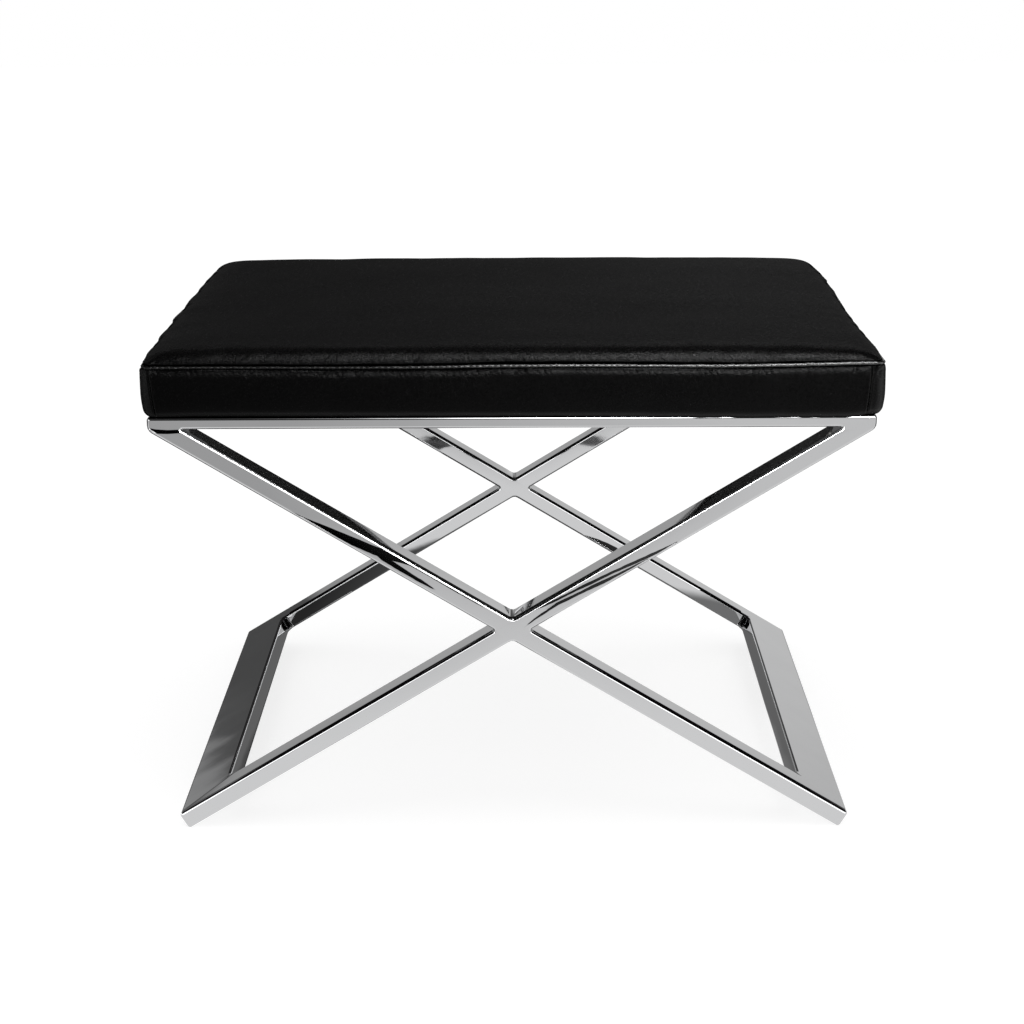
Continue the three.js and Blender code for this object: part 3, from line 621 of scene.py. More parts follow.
def merged_copy(node):
    """A node's points and faces, with the points that triangles share joined."""
    source = nodes[node].data
    points = np.round(points_of(source), 4)
    unique, place = np.unique(points, axis=0, return_inverse=True)
    place = place.reshape(-1)
    faces = []
    for polygon in source.polygons:
        corners = [int(place[i]) for i in polygon.vertices]
        if len(set(corners)) == 3:
            faces.append(corners)
    return unique, faces


def smooth_by_angle(piece, degrees=32.0):
    piece.data.set_sharp_from_angle(angle=math.radians(degrees))
    weighted = piece.modifiers.new("weighted normals", "WEIGHTED_NORMAL")
    weighted.weight = 100
    weighted.keep_sharp = True


def steel_tube(node, side):
    points, faces = merged_copy(node)
    points = close_welds(points, side)
    piece = new_piece(f"{node}_tube", points, faces, STEEL)
    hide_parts(node)
    smooth_by_angle(piece)


for side in ("front", "back"):
    for part in ("long_leg", "upper_half_leg", "lower_half_leg", "top_rail"):
        steel_tube(f"{side}_{part}", side)
for side in ("left", "right"):
    steel_tube(f"{side}_floor_rail", "front")


# Hidden hardware keeps its CAD nodes, with softened edges


def dress_node(node, material, edge):
    """Gives a node its material and rounds its edges, or keeps them sharp for none."""
    sharp = math.radians(35)
    piece = nodes[node]
    piece.data.materials.clear()
    piece.data.materials.append(material)
    if "custom_normal" in piece.data.attributes:
        piece.data.attributes.remove(piece.data.attributes["custom_normal"])
    piece.data.polygons.foreach_set("use_smooth", [True] * len(piece.data.polygons))
    weld = piece.modifiers.new("weld", "WELD")
    weld.merge_threshold = 0.00001
    if edge:
        bevel = piece.modifiers.new("softened edges", "BEVEL")
        bevel.width = edge * MM
        bevel.segments = 2
        bevel.limit_method = "ANGLE"
        bevel.angle_limit = sharp
        bevel.harden_normals = True
    else:
        split = piece.modifiers.new("edges", "EDGE_SPLIT")
        split.split_angle = sharp


for side in ("left", "right"):
    dress_node(f"{side}_side_rail", STEEL, 0)
for depth_side in ("front", "back"):
    for side in ("left", "right"):
        place = f"{depth_side}_{side}"
        dress_node(f"{place}_tab", STEEL, 0.4)
        dress_node(f"{place}_screw", ZINC, 0.15)
        dress_node(f"{place}_washer", ZINC, 0.2)
        dress_node(f"{place}_tee_nut", ZINC, 0.2)
dress_node("seat_board", PLYWOOD, 0)


# The leather cover. Along the outline a place is a length in millimetres, counter-clockwise
# from where the front side's straight part starts on the left.

FRONT_LENGTH = 2 * (HALF_WIDTH - CORNER_RADIUS)
SIDE_LENGTH = 2 * (HALF_DEPTH - CORNER_RADIUS)
ARC_LENGTH = math.pi / 2 * CORNER_RADIUS
OUTLINE_LENGTH = 2 * (FRONT_LENGTH + SIDE_LENGTH) + 4 * ARC_LENGTH
STITCH_PITCH = OUTLINE_LENGTH / STITCH_COUNT


def outline_at(place):
    """Points on the seat's outline in plan and their outward directions."""
    place = np.mod(place, OUTLINE_LENGTH)
    point = np.zeros(place.shape + (2,))
    outward = np.zeros(place.shape + (2,))
    start = 0.0
    for i, length in enumerate((FRONT_LENGTH, SIDE_LENGTH) * 2):
        angle = i * math.pi / 2
        along = np.array([math.cos(angle), math.sin(angle)])
        out = np.array([math.sin(angle), -math.cos(angle)])
        half = (HALF_WIDTH, HALF_DEPTH) if i % 2 == 0 else (HALF_DEPTH, HALF_WIDTH)
        on_side = (place >= start) & (place < start + length)
        run = place[on_side] - start - length / 2
        point[on_side] = run[:, None] * along + out * half[1]
        outward[on_side] = out
        start += length
        on_arc = (place >= start) & (place < start + ARC_LENGTH)
        turn = (place[on_arc] - start) / CORNER_RADIUS
        direction = np.cos(turn)[:, None] * out + np.sin(turn)[:, None] * along
        centre = along * (half[0] - CORNER_RADIUS) + out * (half[1] - CORNER_RADIUS)
        point[on_arc] = centre + direction * CORNER_RADIUS
        outward[on_arc] = direction
        start += ARC_LENGTH
    return point, outward


def waves(place, lengths, heights, seed):
    """A smooth random line round the outline, made of waves of about these lengths."""
    rng = np.random.RandomState(seed)
    total = np.zeros(place.shape)
    for length, height in zip(lengths, heights):
        for _ in range(3):
            turns = max(1, round(OUTLINE_LENGTH / (length * rng.uniform(0.8, 1.25))))
            phase = rng.uniform(0, 2 * math.pi)
            total += height / 1.7 * np.cos(2 * math.pi * turns * place / OUTLINE_LENGTH + phase)
    return total


def field(x, y, length, height, seed):
    """A smooth random height over the top, made of waves in all directions."""
    rng = np.random.RandomState(seed)
    total = np.zeros(x.shape)
    count = 7
    for _ in range(count):
        turn = rng.uniform(0, math.pi)
        phase = rng.uniform(0, 2 * math.pi)
        run = x * math.cos(turn) + y * math.sin(turn)
        total += np.cos(2 * math.pi * run / (length * rng.uniform(0.7, 1.5)) + phase)
    return total * height / math.sqrt(count)


def between(value, low, high):
    share = np.clip((value - low) / (high - low), 0, 1)
    return share * share * (3 - 2 * share)


def off_seam(place, seam):
    """Signed length from a place on the outline to a corner seam."""
    half = OUTLINE_LENGTH / 2
    return np.mod(place - seam + half, OUTLINE_LENGTH) - half


def eased(value, stops, softness):
    """A smooth line through stops of (place, amount)."""
    places, amounts = np.array(stops).T
    margin = 60
    step = 2.0
    fine = np.arange(places[0] - margin, places[-1] + margin, step)
    table = np.interp(fine, places, amounts)
    reach = np.arange(-3 * softness, 3 * softness + 1, step)
    kernel = np.exp(-((reach / softness) ** 2))
    padded = np.pad(table, len(reach) // 2, mode="edge")
    smooth = np.convolve(padded, kernel / kernel.sum(), mode="valid")
    return np.interp(value, fine, smooth)


# How far the stuffing pushes each side out, from front to back
LEFT_SWELL = ((-256, 0), (-225, 1.2), (-163, 2.5), (-64, 2.8), (-14, 3.1), (180, 1.7), (256, 0.4))
RIGHT_SWELL = (
    ((-256, 0.3), (-225, 1.7), (-163, 0.6), (-115, -0.4), (-64, 0.5))
    + ((-14, 1.3), (35, 3.4), (128, 5.3), (200, 4.6), (256, 1.6))
)
# How the front seam rises and falls, from left to right
SEAM_LINE = (
    ((-310, -0.6), (-250, -0.6), (-150, -1.4), (-80, -1.4), (-20, -0.3))
    + ((70, -0.2), (180, -1.2), (240, -0.3), (300, 1.3))
)
# How the hem of the front band hangs, from left to right
HEM_LINE = (
    ((-300, -0.7), (-270, -0.2), (-230, -0.3), (-90, -1.0), (0, -1.4))
    + ((90, -1.9), (160, -2.8), (200, -3.2), (292, -3.3), (308, 0.6))
)


def settled(points):
    """The seat's points moved to where its stuffing and seams hold them."""
    x, y, z = points[:, 0], points[:, 1], points[:, 2]
    swell = np.where(x > 0, eased(y, RIGHT_SWELL, 14), eased(y, LEFT_SWELL, 14))
    swell *= (np.abs(x) / HALF_WIDTH) ** 4 * (0.4 + 0.6 * between(z, 384, 402))
    line = eased(x, SEAM_LINE, 18) * np.exp(-np.clip(y + HALF_DEPTH, 0, None) / 25)
    line *= between(z, 405, 424) * (1 - between(z, 434, 441))
    hem = eased(x, HEM_LINE, 6) * (1 - between(z, 383, 396)) * between(-y, 251.2, 253.6)
    return np.column_stack([x + SEAT_SHIFT + np.sign(x) * swell, y, z + line + hem])


# Where the corner seams stand beside the corners at half height
corner_starts = [
    FRONT_LENGTH,
    FRONT_LENGTH + ARC_LENGTH + SIDE_LENGTH,
    2 * FRONT_LENGTH + 2 * ARC_LENGTH + SIDE_LENGTH,
    OUTLINE_LENGTH - ARC_LENGTH,
]
CORNERS = [start + ARC_LENGTH / 2 for start in corner_starts]
SEAMS = {
    "front_left": -0.5,
    "front_right": FRONT_LENGTH - 3.3,
    "back_right": FRONT_LENGTH + SIDE_LENGTH + 2 * ARC_LENGTH + 1.5,
    "back_left": 2 * FRONT_LENGTH + SIDE_LENGTH + 2 * ARC_LENGTH - 1.0,
}
SEAM_LEAN = {"front_left": -2.7, "front_right": 1.8, "back_right": -2.0, "back_left": 2.4}
SEAM_LEAN_REACH = 16.0


def leaned(place, height):
    """Shifts the columns beside a corner seam, so that the seam slants outward as it rises."""
    level = (height - (SEAT_BOTTOM + SEAM_HEIGHT) / 2) / ((SEAM_HEIGHT - SEAT_BOTTOM) / 2)
    shifted = place.copy()
    for name, seam in SEAMS.items():
        near = np.exp(-((off_seam(place, seam) / SEAM_LEAN_REACH) ** 2))
        shifted += SEAM_LEAN[name] * np.clip(level, -1, 1) * near
    return shifted


def make_creases():
    """Creases near the seam: place, level over it, slant, length, width and height."""
    chance = np.random.RandomState(7)
    creases = []
    for _ in range(190):
        place = chance.uniform(0, OUTLINE_LENGTH)
        size = chance.uniform(0.12, 0.34)
        creases.append((place, size))
    for _ in range(34):
        place = chance.uniform(0, FRONT_LENGTH * 0.55)
        creases.append((place, chance.uniform(0.25, 0.55)))
    for corner_place in CORNERS:
        for _ in range(9):
            place = corner_place + chance.normal(0, 11)
            creases.append((place, chance.uniform(0.35, 0.8)))
    made = []
    for place, height in creases:
        level = chance.uniform(-9, 10)
        slant = chance.uniform(-1.1, 1.1)
        length = chance.uniform(3.5, 8)
        width = chance.uniform(1.1, 2.2)
        sign = -1 if chance.uniform() < 0.6 else 1
        made.append((place % OUTLINE_LENGTH, level, slant, length, width, height * sign))
    pleat = SEAMS["front_right"]
    made.append((pleat + 6.0, -4.5, 0.9, 3.4, 1.1, 1.0))
    made.append((pleat + 9.0, -9.5, -0.5, 3.0, 1.2, 0.9))
    made.append((pleat + 7.0, -7.2, 0.7, 3.0, 0.8, -1.0))
    return made


CREASES = make_creases()


def creased(place, level):
    """Height of the creases at places on the outline and levels over (or below) the seam."""
    total = np.zeros(place.shape)
    for at, mid, slant, length, width, height in CREASES:
        off = off_seam(place, at)
        rise = level - mid
        along = rise * math.cos(slant) + off * math.sin(slant)
        across = off * math.cos(slant) - rise * math.sin(slant)
        near = (np.abs(along) < 3 * length) & (np.abs(across) < 3 * width)
        if not near.any():
            continue
        shape = np.exp(-((along[near] / length) ** 2) - (across[near] / width) ** 2)
        total[near] += height * shape
    return total


def groove(place):
    """The corner seams' grooves and the small rolls beside them."""
    total = np.zeros(place.shape)
    for seam in SEAMS.values():
        off = np.abs(off_seam(place, seam))
        total -= 0.8 * np.exp(-((off / 0.5) ** 2))
        total += 0.35 * np.exp(-(((off - 1.7) / 0.9) ** 2))
    return total


def pucker(place, level=0.0):
    """Slanting rises between stitches, with a strength that changes along the seam."""
    strength = 0.75 + 0.35 * waves(place, (60, 25), (0.6, 0.5), 21)
    return strength * np.cos(2 * math.pi * place / STITCH_PITCH + 0.9 * level)


def drawn_in(point, share):
    """How far the front and back are pulled in between their corners."""
    pull = np.clip(1 - (point[..., 0] / HALF_WIDTH) ** 2, 0, 1)
    return SEAM_DRAW_IN * share * pull


def off_corner(place):
    """One at the middle of a corner, and none away from it."""
    near = np.zeros(place.shape)
    for corner_place in CORNERS:
        near = np.maximum(near, np.exp(-((off_seam(place, corner_place) / 13.0) ** 2)))
    return near


def wall_offset(place, height):
    """How far the boxing band stands out from the outline at a height."""
    share = np.clip((height - SEAT_BOTTOM) / (SEAM_HEIGHT + 5 - SEAT_BOTTOM), 0, 1)
    level = height - SEAM_HEIGHT
    offset = BULGE * np.sqrt(np.clip(np.sin(math.pi * share), 0, 1))
    rise = between(height, SEAT_BOTTOM + 4, SEAM_HEIGHT - 4)
    offset += waves(place, (300, 110, 45), (0.5, 0.35, 0.16), 3) * (0.3 + 0.7 * rise)
    offset += waves(place, (70, 30), (0.12, 0.08), 5) * (1 - rise)
    offset -= 1.3 * np.clip((403 - height) / 18, 0, 1) ** 2
    over = np.clip((height - BAND_TOP + BAND_ROLL) / BAND_ROLL, 0, 1)
    roll = BAND_ROLL_DEPTH * (1 - np.sqrt(1 - 0.92 * over**2))
    offset -= roll * (1 - 0.85 * off_corner(place))
    offset += 0.2 * pucker(place, level) * np.exp(-(((level + 6.0) / 2.4) ** 2))
    offset += creased(place, level)
    return offset + groove(place)


def seam_rise(place):
    """How the top seam wanders up and down round the outline."""
    return waves(place, (400, 150, 60), (0.22, 0.16, 0.12), 31)


def band_points(place, height, inward=0.0):
    """Points of the boxing band at places and heights."""
    point, outward = outline_at(leaned(place, height))
    share = np.clip((height - SEAT_BOTTOM) / (SEAM_HEIGHT - SEAT_BOTTOM), 0, 1)
    offset = wall_offset(place, height) - drawn_in(point, share) - inward
    seam_wave = seam_rise(place) * between(share, 0.3, 1)
    plan = point + outward * offset[..., None]
    return np.concatenate([plan, (height + seam_wave)[..., None]], axis=-1)


def column_places(seam_from, seam_to):
    """Columns of one band, four to a stitch and finer beside its seams."""
    step = STITCH_PITCH / 4
    first = math.ceil((seam_from + 3) / step)
    last = math.floor((seam_to - 3) / step)
    middle = np.arange(first, last + 1) * step
    fine = np.array([0, 0.2, 0.4, 0.65, 0.95, 1.3, 1.7, 2.2])
    return np.concatenate([seam_from + fine, middle, seam_to - fine[::-1]])


def band_rows(place):
    """The rows of a band from its cut edge under the board to the inside of the seam."""
    rows = []
    full = np.ones(place.shape)
    point, outward = outline_at(leaned(place, full * SEAT_BOTTOM))
    cut = point * np.array([FOLD_HALF_WIDTH / HALF_WIDTH, FOLD_HALF_DEPTH / HALF_DEPTH])
    fold_start = point - outward * LOWER_RADIUS
    for share in (0, 0.2, 0.45, 0.7, 0.88):
        plan = cut + (fold_start - cut) * share
        rows.append(np.column_stack([plan, full * SEAT_BOTTOM]))
    wave = waves(place, (45, 18), (0.12, 0.07), 9)
    for angle in np.linspace(0, math.pi / 2, 8):
        height = full * (SEAT_BOTTOM + LOWER_RADIUS * (1 - math.cos(angle)))
        inward = LOWER_RADIUS * (1 - math.sin(angle))
        row = band_points(place, height)
        share = math.sin(angle)
        plan = fold_start * (1 - share) + row[:, :2] * share
        plan_z = height + wave * math.sin(2 * angle) * 0.8
        rows.append(np.column_stack([plan, plan_z]))
    low = SEAT_BOTTOM + LOWER_RADIUS
    heights = list(np.linspace(low + 1.5, BAND_TOP - BAND_ROLL - 1, 17))
    heights += list(np.linspace(BAND_TOP - BAND_ROLL, BAND_TOP, 19))
    for height in heights:
        rows.append(band_points(place, full * height))
    for inward, lift in ((0.4, 0.3), (1.0, 0.55), (1.8, 0.75), (3.0, 0.95), (4.6, 0.95), (7.0, 0.5)):
        row = band_points(place, full * BAND_TOP, inward)
        row[:, 2] += lift
        rows.append(row)
    return rows


def make_band(name, seam_from, seam_to):
    place = column_places(seam_from, seam_to)
    rows = band_rows(place)
    faces = grid_faces(len(rows), len(place))
    points = settled(np.concatenate(rows))
    piece = new_piece(f"{name}_cover", points, faces, LEATHER)
    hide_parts(name)


def crown_share(room):
    """The share of the crown's height at a distance from one side of the seat."""
    room = np.maximum(room, 0)
    steep = 1 - np.exp(-room / CROWN_SOFTNESS)
    slow = 1 - np.exp(-room / CROWN_SLOW_SOFTNESS)
    return steep + (slow - steep) * CROWN_SLOW_SHARE


def top_points(place, inset, lift=0.0):
    """Points of the crowned top at places, at an inset from the outline."""
    point, outward = outline_at(place)
    along = np.array([(HALF_WIDTH - inset) / HALF_WIDTH, (HALF_DEPTH - inset) / HALF_DEPTH])
    plan = point * along
    near_seam = math.exp(-max(inset, 0) / 14)
    plan = plan - outward * drawn_in(point, near_seam)[..., None]
    wobble = waves(place, (300, 110, 45), (0.5, 0.35, 0.2), 3) * near_seam
    wobble += waves(place, (90, 34), (0.35, 0.22), 12) * near_seam
    wobble += 0.16 * pucker(place, inset) * math.exp(-(((inset - 3.2) / 2.2) ** 2))
    wobble += creased(place, np.full(place.shape, 1.35 * inset))
    x, y = plan[..., 0], plan[..., 1]
    rise = crown_share(HALF_WIDTH - 1 - np.abs(x)) * crown_share(HALF_DEPTH - 1 - np.abs(y))
    level = SEAM_HEIGHT + 0.35 + CROWN_HEIGHT * rise + lift
    inner = between(inset, 4, 40) if np.isscalar(inset) else 0
    level = level + inner * (field(x, y, 210, 0.42, 51) + field(x, y, 75, 0.13, 52))
    slope = math.exp(-max(inset - 1, 0) / CROWN_SOFTNESS)
    plan = plan + outward * (wobble * slope)[..., None]
    level = level + wobble * (1 - slope)
    seam_wave = seam_rise(place) * near_seam
    return np.concatenate([plan, (level + seam_wave)[..., None]], axis=-1)


def make_top():
    """The top panel, from its edge tucked into the seam to the middle."""
    place = np.arange(STITCH_COUNT * 4) * STITCH_PITCH / 4
    tuck = [(9.0, -5.4), (6.8, -4.0), (5.2, -3.2), (3.6, -2.7)]
    tuck += [(2.2, -2.1), (1.2, -1.5), (0.5, -0.9), (0.15, -0.4)]
    rows = []
    outward = outline_at(place)[1]
    for inward, lift in tuck:
        row = top_points(place, PANEL_INSET)
        row[:, :2] -= outward * inward
        row[:, 2] += lift
        rows.append(row)
    insets = [PANEL_INSET, 2.1, 2.5, 3.1, 3.8, 4.6, 5.5, 6.5, 7.7, 9.0, 10.5, 12.3]
    insets += [14.5, 17, 20, 23.5, 27.5, 32, 37, 43, 50]
    insets += list(np.arange(60, HALF_DEPTH, 10.5))
    for inset in insets:
        rows.append(top_points(place, inset))
    count = len(place)
    points = np.concatenate(rows)
    faces = grid_faces(len(rows), count, closed=True)
    last = (len(rows) - 1) * count
    middle = points[last:].mean(axis=0)
    points = np.vstack([points, middle])
    centre = len(points) - 1
    faces += [(last + j, last + (j + 1) % count, centre) for j in range(count)]
    piece = new_piece("top_panel_cover", settled(points), faces, LEATHER)
    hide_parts("top_panel")


def make_welt():
    """The corded welt in the top seam, twisted by its stitches, most on the left."""
    sides = 12
    count = STITCH_COUNT * 8
    place = np.arange(count) * OUTLINE_LENGTH / count
    point, outward = outline_at(place)
    share = between(point[:, 0], -260, 240)
    twist = 0.19 - 0.14 * share + 0.03 * waves(place, (90, 40), (0.6, 0.5), 41)
    turn = np.arange(sides) / sides * 2 * math.pi
    inset = WELT_INSET - 0.5 * off_corner(place)
    plan = point - outward * (inset + drawn_in(point, 1.0))[:, None]
    wave = 2 * math.pi * place / STITCH_PITCH
    lift = WELT_HEIGHT + 0.14 * waves(place, (35, 14), (0.6, 0.5), 43)
    radius = WELT_RADIUS * (0.8 + 0.26 * share)
    rings = []
    for angle in turn:
        swollen = radius * (1 + twist * np.cos(wave + 2.4 * angle))
        out = plan + outward * (swollen * math.cos(angle))[:, None]
        rings.append(np.column_stack([out, lift + swollen * math.sin(angle)]))
    points = np.stack(rings, axis=1).reshape(-1, 3)
    faces = []
    for i in range(count):
        k = (i + 1) % count
        for j in range(sides):
            m = (j + 1) % sides
            faces.append((i * sides + j, i * sides + m, k * sides + m, k * sides + j))
    new_piece("seam_welt", settled(points), faces, WELT)


def make_foam():
    """The foam block, a little inside the cover, with its edges rounded by the leather's pull."""
    place = np.linspace(0, OUTLINE_LENGTH, 240, endpoint=False)
    point, outward = outline_at(place)
    rows = []
    bottom = 396.6
    sides = [(bottom, 3.7), (bottom + 0.8, 2.9), (bottom + 6, 2.9), (408, 2.9), (414, 3.2)]
    sides += [(418, 4.2), (421, 6.4), (424, 9.4), (425.5, 11.5)]
    for height, inset in sides:
        share = np.full(place.shape, (height - SEAT_BOTTOM) / (SEAM_HEIGHT - SEAT_BOTTOM))
        plan = point - outward * (inset + drawn_in(point, share))[:, None]
        rows.append(np.column_stack([plan, np.full(place.shape, height)]))
    for inset in (12.2, 13.2, 14.6, 17, 21, 30, 45, 70, 100, 140, 190, 240):
        row = top_points(place, inset)
        row[:, 2] -= 2.4
        rows.append(row)
    count = len(place)
    points = np.concatenate(rows)
    faces = grid_faces(len(rows), count, closed=True)
    faces.append(tuple(reversed(range(count))))
    faces.append(tuple(range((len(rows) - 1) * count, len(rows) * count)))
    piece = new_piece("foam_pad", settled(points), faces, FOAM)
    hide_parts("foam_block")
    return piece


make_band("front_band", SEAMS["front_left"], SEAMS["front_right"])
make_band("right_band", SEAMS["front_right"], SEAMS["back_right"])
make_band("back_band", SEAMS["back_right"], SEAMS["back_left"])
make_band("left_band", SEAMS["back_left"], SEAMS["front_left"] + OUTLINE_LENGTH)
make_top()
make_welt()
foam = make_foam()


# The dust cover and its staples

COVER_TOP = 382.0
COVER_GAP = 3.5
HOLE_INSET = 16
HOLE_RADIUS = 4.6


def make_dust_cover():
    """The sagging cloth under the board, open round the screws."""
    half_x = SIDE_RAIL_INNER - COVER_GAP
    half_y = FRAME_INSIDE - COVER_GAP
    across = np.linspace(-half_x, half_x, 110)
    back = np.linspace(-half_y, half_y, 90)
    x, y = np.meshgrid(across, back)
    edge = np.minimum(half_x - np.abs(x), half_y - np.abs(y))
    inner = between(edge, 6, 60)
    sag = -1.6 * inner + inner * field(x, y, 120, 0.5, 61)
    pull = np.cos(2 * math.pi * x / 42) * between(edge, 0, 8) * (1 - between(edge, 10, 34))
    z = COVER_TOP - 0.75 + sag + 0.3 * pull
    points = np.column_stack([x.ravel(), y.ravel(), z.ravel()])
    faces = grid_faces(len(back), len(across))
    holes = []
    for sign_x in (-1, 1):
        for sign_y in (-1, 1):
            hole_y = sign_y * (FRAME_INSIDE - HOLE_INSET)
            holes.append((sign_x * (SIDE_RAIL_INNER - HOLE_INSET), hole_y))
    open_faces = []
    for face in faces:
        middle = points[list(face)].mean(axis=0)
        if all(math.hypot(middle[0] - a, middle[1] - b) > HOLE_RADIUS for a, b in holes):
            open_faces.append(face)
    piece = new_piece("dust_cover_sheet", points, open_faces, BACKING)
    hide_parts("dust_cover")


def make_staples():
    """Flat wire staples round the dust cover's edge."""
    points = []
    faces = []
    off_edge = COVER_GAP + 5
    half_x = SIDE_RAIL_INNER - off_edge
    half_y = FRAME_INSIDE - off_edge
    half_thickness = 0.35 / 2
    half_width = 0.6
    crown = 5.0
    pitch = 42
    spots = []
    for x in np.arange(-half_x + 36, half_x - 30, pitch):
        spots += [(x, -half_y, 0.0), (x, half_y, 0.0)]
    for y in np.arange(-half_y + 36, half_y - 30, pitch):
        spots += [(-half_x, y, math.pi / 2), (half_x, y, math.pi / 2)]
    rng = np.random.RandomState(5)
    low = COVER_TOP - 1.55
    up = np.array([0.0, 0.0, 1.0])
    bends = [(-crown, 0.9), (-crown, 0.15), (-crown + 0.35, -0.1)]
    bends += [(crown - 0.35, -0.1), (crown, 0.15), (crown, 0.9)]
    for x, y, turn in spots:
        turn += rng.normal(0, 0.1)
        along = np.array([math.cos(turn), math.sin(turn), 0.0])
        side = np.array([-math.sin(turn), math.cos(turn), 0.0])
        centre = np.array([x + rng.normal(0, 0.8), y + rng.normal(0, 0.8), low])
        first = len(points)
        for run, rise in bends:
            middle = centre + along * run + up * rise
            tilt = up if abs(run) < crown - 0.1 else along * np.sign(run)
            for a, b in ((-1, -1), (1, -1), (1, 1), (-1, 1)):
                points.append(middle + side * a * half_width + tilt * b * half_thickness)
        faces += grid_faces(len(bends), 4, closed=True, start=first)
        faces.append(tuple(first + i for i in (3, 2, 1, 0)))
        end = first + 4 * (len(bends) - 1)
        faces.append(tuple(end + i for i in range(4)))
    new_piece("staples", np.array(points), faces, ZINC, smooth=False)


make_dust_cover()
make_staples()


# Studio

# The room that steel and leather mirror, as tones from dark to light. Behind the stool and low
# down, from left to right
BACKDROP_TONES = (
    ((0, 0.36), (0.018, 0.3), (0.03, 0.11), (0.05, 0.092), (0.105, 0.09), (0.125, 0.36))
    + ((0.225, 0.5), (0.333, 0.45), (0.4, 0.24), (0.5, 0.47), (0.6, 0.8), (0.683, 0.56))
    + ((0.75, 0.72), (0.833, 0.68), (1, 0.5))
)
# Behind and in front, from the horizon to overhead
BEHIND_TONES = ((0, 0.17), (0.18, 0.15), (0.28, 0.04), (0.5, 0.02), (0.8, 0.02), (1, 0.02))
AHEAD_TONES = (
    ((0, 0.002), (0.22, 0.002), (0.29, 0.7), (0.42, 0.7), (0.5, 0.02), (0.84, 0.02))
    + ((0.93, 1.0), (1, 1.0))
)
# How the light above grows from left to right
SIDE_TONES = ((0, 0.006), (0.15, 0.014), (0.28, 0.04), (0.4, 0.15), (0.5, 0.33), (1, 1))
SIDE_STRENGTH = 2.8
LIGHT_STRENGTH = 12.0
# Where the floor's painted shade under the stool starts in mirrors, on the left and on the right,
# and its tone behind the stool
SHADE_START = (-0.17, 0.03)
BEHIND_TONE = 0.17


def floor_mirrored(graph, x, y):
    """The floor's tone in mirrors, painted as a glow: bright in front and darker far off to the
    left, with painted shade under the stool and behind it.
    """
    left_far = graph.span(x, -0.35, 0.35, 0.53, 0.86)
    front = graph.mix(graph.span(y, -0.45, -1.3, 0.0, 1.0), 1.0, left_far)
    front = graph.times(front, graph.span(y, -1.8, -2.6, 1.0, 0.04, smooth=True))
    shade_start = graph.span(x, -0.1, 0.1, *SHADE_START)
    under = graph.span(graph.minus(y, shade_start), -0.03, 0.03, smooth=True)
    under_tone = graph.span(x, -0.25, 0.2, 0.03, 0.25)
    under_tone = graph.mix(graph.span(y, 0.2, 0.32), under_tone, BEHIND_TONE)
    return graph.mix(under, front, under_tone)


def make_floor():
    """A pale floor, white to the camera, that keeps the stool's shadow."""
    half = 9.0
    mesh = bpy.data.meshes.new("floor")
    corners = [(-half, -half, 0), (half, -half, 0), (half, half, 0), (-half, half, 0)]
    mesh.from_pydata(corners, [], [(0, 1, 2, 3)])
    floor = bpy.data.objects.new("floor", mesh)
    bpy.context.scene.collection.objects.link(floor)
    material, graph, place = new_material("studio_floor")
    mesh.materials.append(material)
    x, y, _ = graph.axes(place)
    tone = graph.span(graph.noise(place, 2.5, 3.0), 0.3, 0.7, 0.78, 0.82)
    plain = graph.shader("ShaderNodeBsdfDiffuse", Color=graph.vector(tone, tone, tone))
    pale = graph.shader("ShaderNodeBsdfDiffuse", Color=grey(0.3))
    glow = graph.shader("ShaderNodeEmission", Strength=0.8)
    seen = graph.add("ShaderNodeAddShader", {0: pale, 1: glow}).outputs[0]
    mirror_glow = graph.shader("ShaderNodeEmission", Strength=floor_mirrored(graph, x, y))
    graph.show(graph.by_ray(seen, mirror_glow, plain))


def room_behind(graph, x, y, share, side, sideways):
    """A backdrop low down, dark above it, and a light overhead."""
    behind_x = graph.math("DIVIDE", x, graph.math("MAXIMUM", graph.math("ABSOLUTE", y), 0.05))
    backdrop = graph.ramp(graph.span(behind_x, -0.6, 0.6), BACKDROP_TONES)
    high = graph.ramp(share, BEHIND_TONES)
    high = graph.mix(sideways, high, graph.span(share, 0.16, 0.2, 0.15, 0.003))
    overhead = graph.times(graph.span(share, 0.92, 0.99), graph.span(sideways, 1, 0))
    high = graph.mix(overhead, high, graph.times(side, LIGHT_STRENGTH))
    low_share = graph.span(share, 14 / 90, 17 / 90, 1.0, 0.0, smooth=True)
    return graph.mix(low_share, high, backdrop)


def room_ahead(graph, x, share, side, sideways):
    """A strip of light over the camera and one overhead, and low lights at the sides."""
    ahead = graph.times(graph.ramp(share, AHEAD_TONES), graph.times(side, LIGHT_STRENGTH))
    low_lift = graph.span(x, -0.12, 0.12, 0.35, 1.6)
    ahead = graph.times(ahead, graph.mix(graph.span(share, 0.5, 0.8), low_lift, 1.0))
    return graph.mix(sideways, ahead, graph.span(share, 0.13, 0.17, 3.0, 0.003))


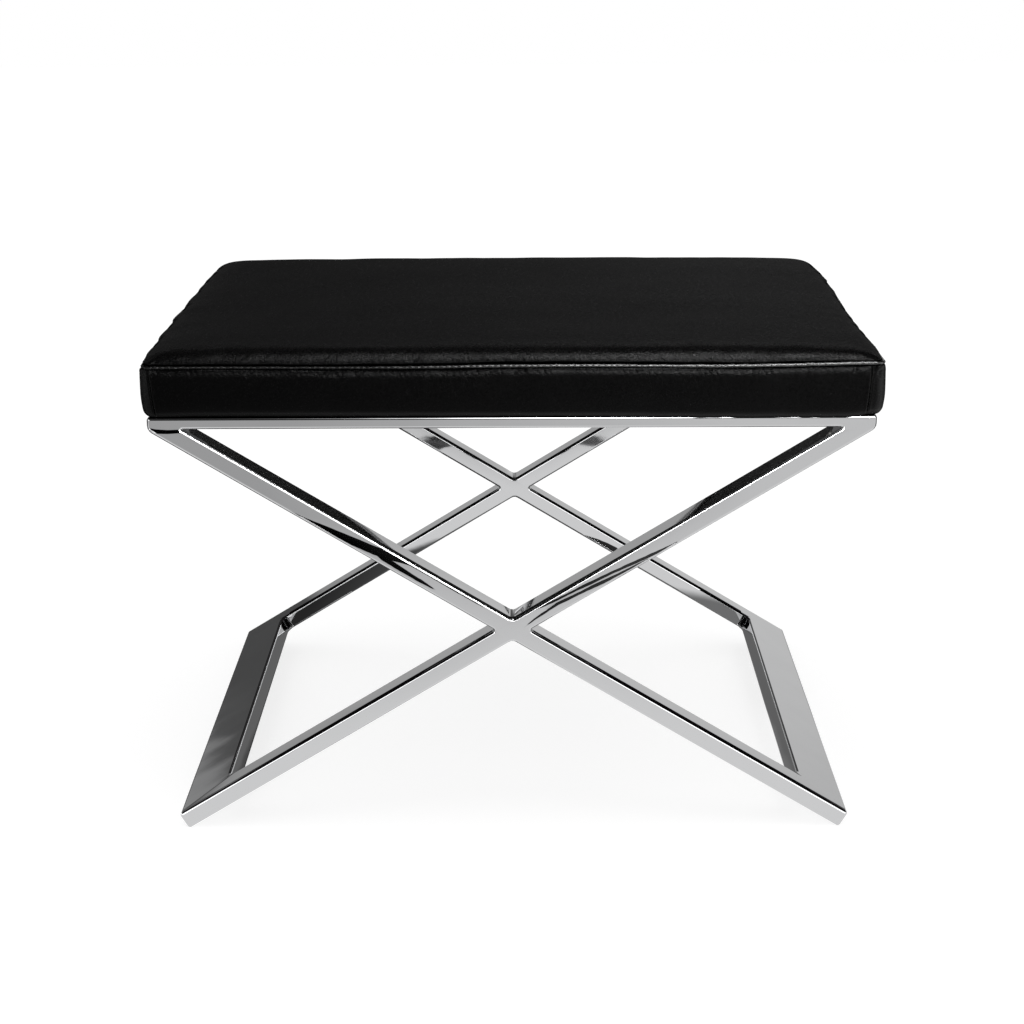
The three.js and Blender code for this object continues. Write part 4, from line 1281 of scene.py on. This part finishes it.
def make_world():
    """A plain pale studio, white to the camera. Only glossy rays see the room."""
    world = bpy.data.worlds.new("studio")
    bpy.context.scene.world = world
    world.use_nodes = True
    graph = Graph(world.node_tree)
    x, y, z = graph.axes(graph.add("ShaderNodeTexCoord").outputs["Generated"])
    level = graph.math("ARCSINE", graph.math("MINIMUM", graph.math("MAXIMUM", z, -1.0), 1.0))
    share = graph.span(level, 0.0, math.pi / 2)
    sideways = graph.span(graph.math("ABSOLUTE", x), 0.225, 0.33)
    side = graph.times(graph.ramp(graph.span(x, -0.2, 0.2), SIDE_TONES), SIDE_STRENGTH)
    behind = room_behind(graph, x, y, share, side, sideways)
    ahead = room_ahead(graph, x, share, side, sideways)
    room = graph.mix(graph.span(y, -0.08, 0.08), ahead, behind)
    tones = [
        graph.shader("ShaderNodeBackground", Color=grey(1.0), Strength=strength)
        for strength in (1.0, room, 0.8)
    ]
    graph.show(graph.by_ray(*tones), "ShaderNodeOutputWorld")


def make_lamp():
    """A soft overhead lamp in front, for the form of what isn't mirror bright."""
    lamp = bpy.data.lights.new("softbox", "AREA")
    lamp.shape = "RECTANGLE"
    lamp.size = 2.2
    lamp.size_y = 1.4
    lamp.energy = 9.0
    holder = bpy.data.objects.new("softbox", lamp)
    holder.location = (0.3, -0.5, 2.1)
    holder.rotation_euler = (math.radians(14), math.radians(8), 0)
    holder.visible_camera = False
    holder.visible_glossy = False
    bpy.context.scene.collection.objects.link(holder)


def make_camera():
    """The camera that was fitted to the photo."""
    place = (0.011, -2.0407, 0.8082)
    yaw, pitch, roll = (math.radians(a) for a in (0.35, 15.96, -0.312))
    focal_pixels = 2141.6
    picture_width = 1024
    sensor = 36.0
    z_axis = Vector((0, 0, 1))
    flat = Vector((-math.sin(yaw), math.cos(yaw), 0))
    right = Vector((math.cos(yaw), math.sin(yaw), 0))
    forward = flat * math.cos(pitch) - z_axis * math.sin(pitch)
    up = flat * math.sin(pitch) + z_axis * math.cos(pitch)
    rolled_right = right * math.cos(roll) + up * math.sin(roll)
    rolled_up = up * math.cos(roll) - right * math.sin(roll)
    turned = Matrix((rolled_right, rolled_up, -forward)).transposed()
    lens = bpy.data.cameras.new("camera")
    lens.sensor_width = sensor
    lens.sensor_fit = "HORIZONTAL"
    lens.lens = focal_pixels / picture_width * sensor
    lens.clip_end = 60
    camera = bpy.data.objects.new("camera", lens)
    camera.matrix_world = Matrix.Translation(place) @ turned.to_4x4()
    bpy.context.scene.collection.objects.link(camera)
    bpy.context.scene.camera = camera


make_floor()
make_world()
make_lamp()
make_camera()
bpy.context.scene.view_settings.view_transform = "Standard"
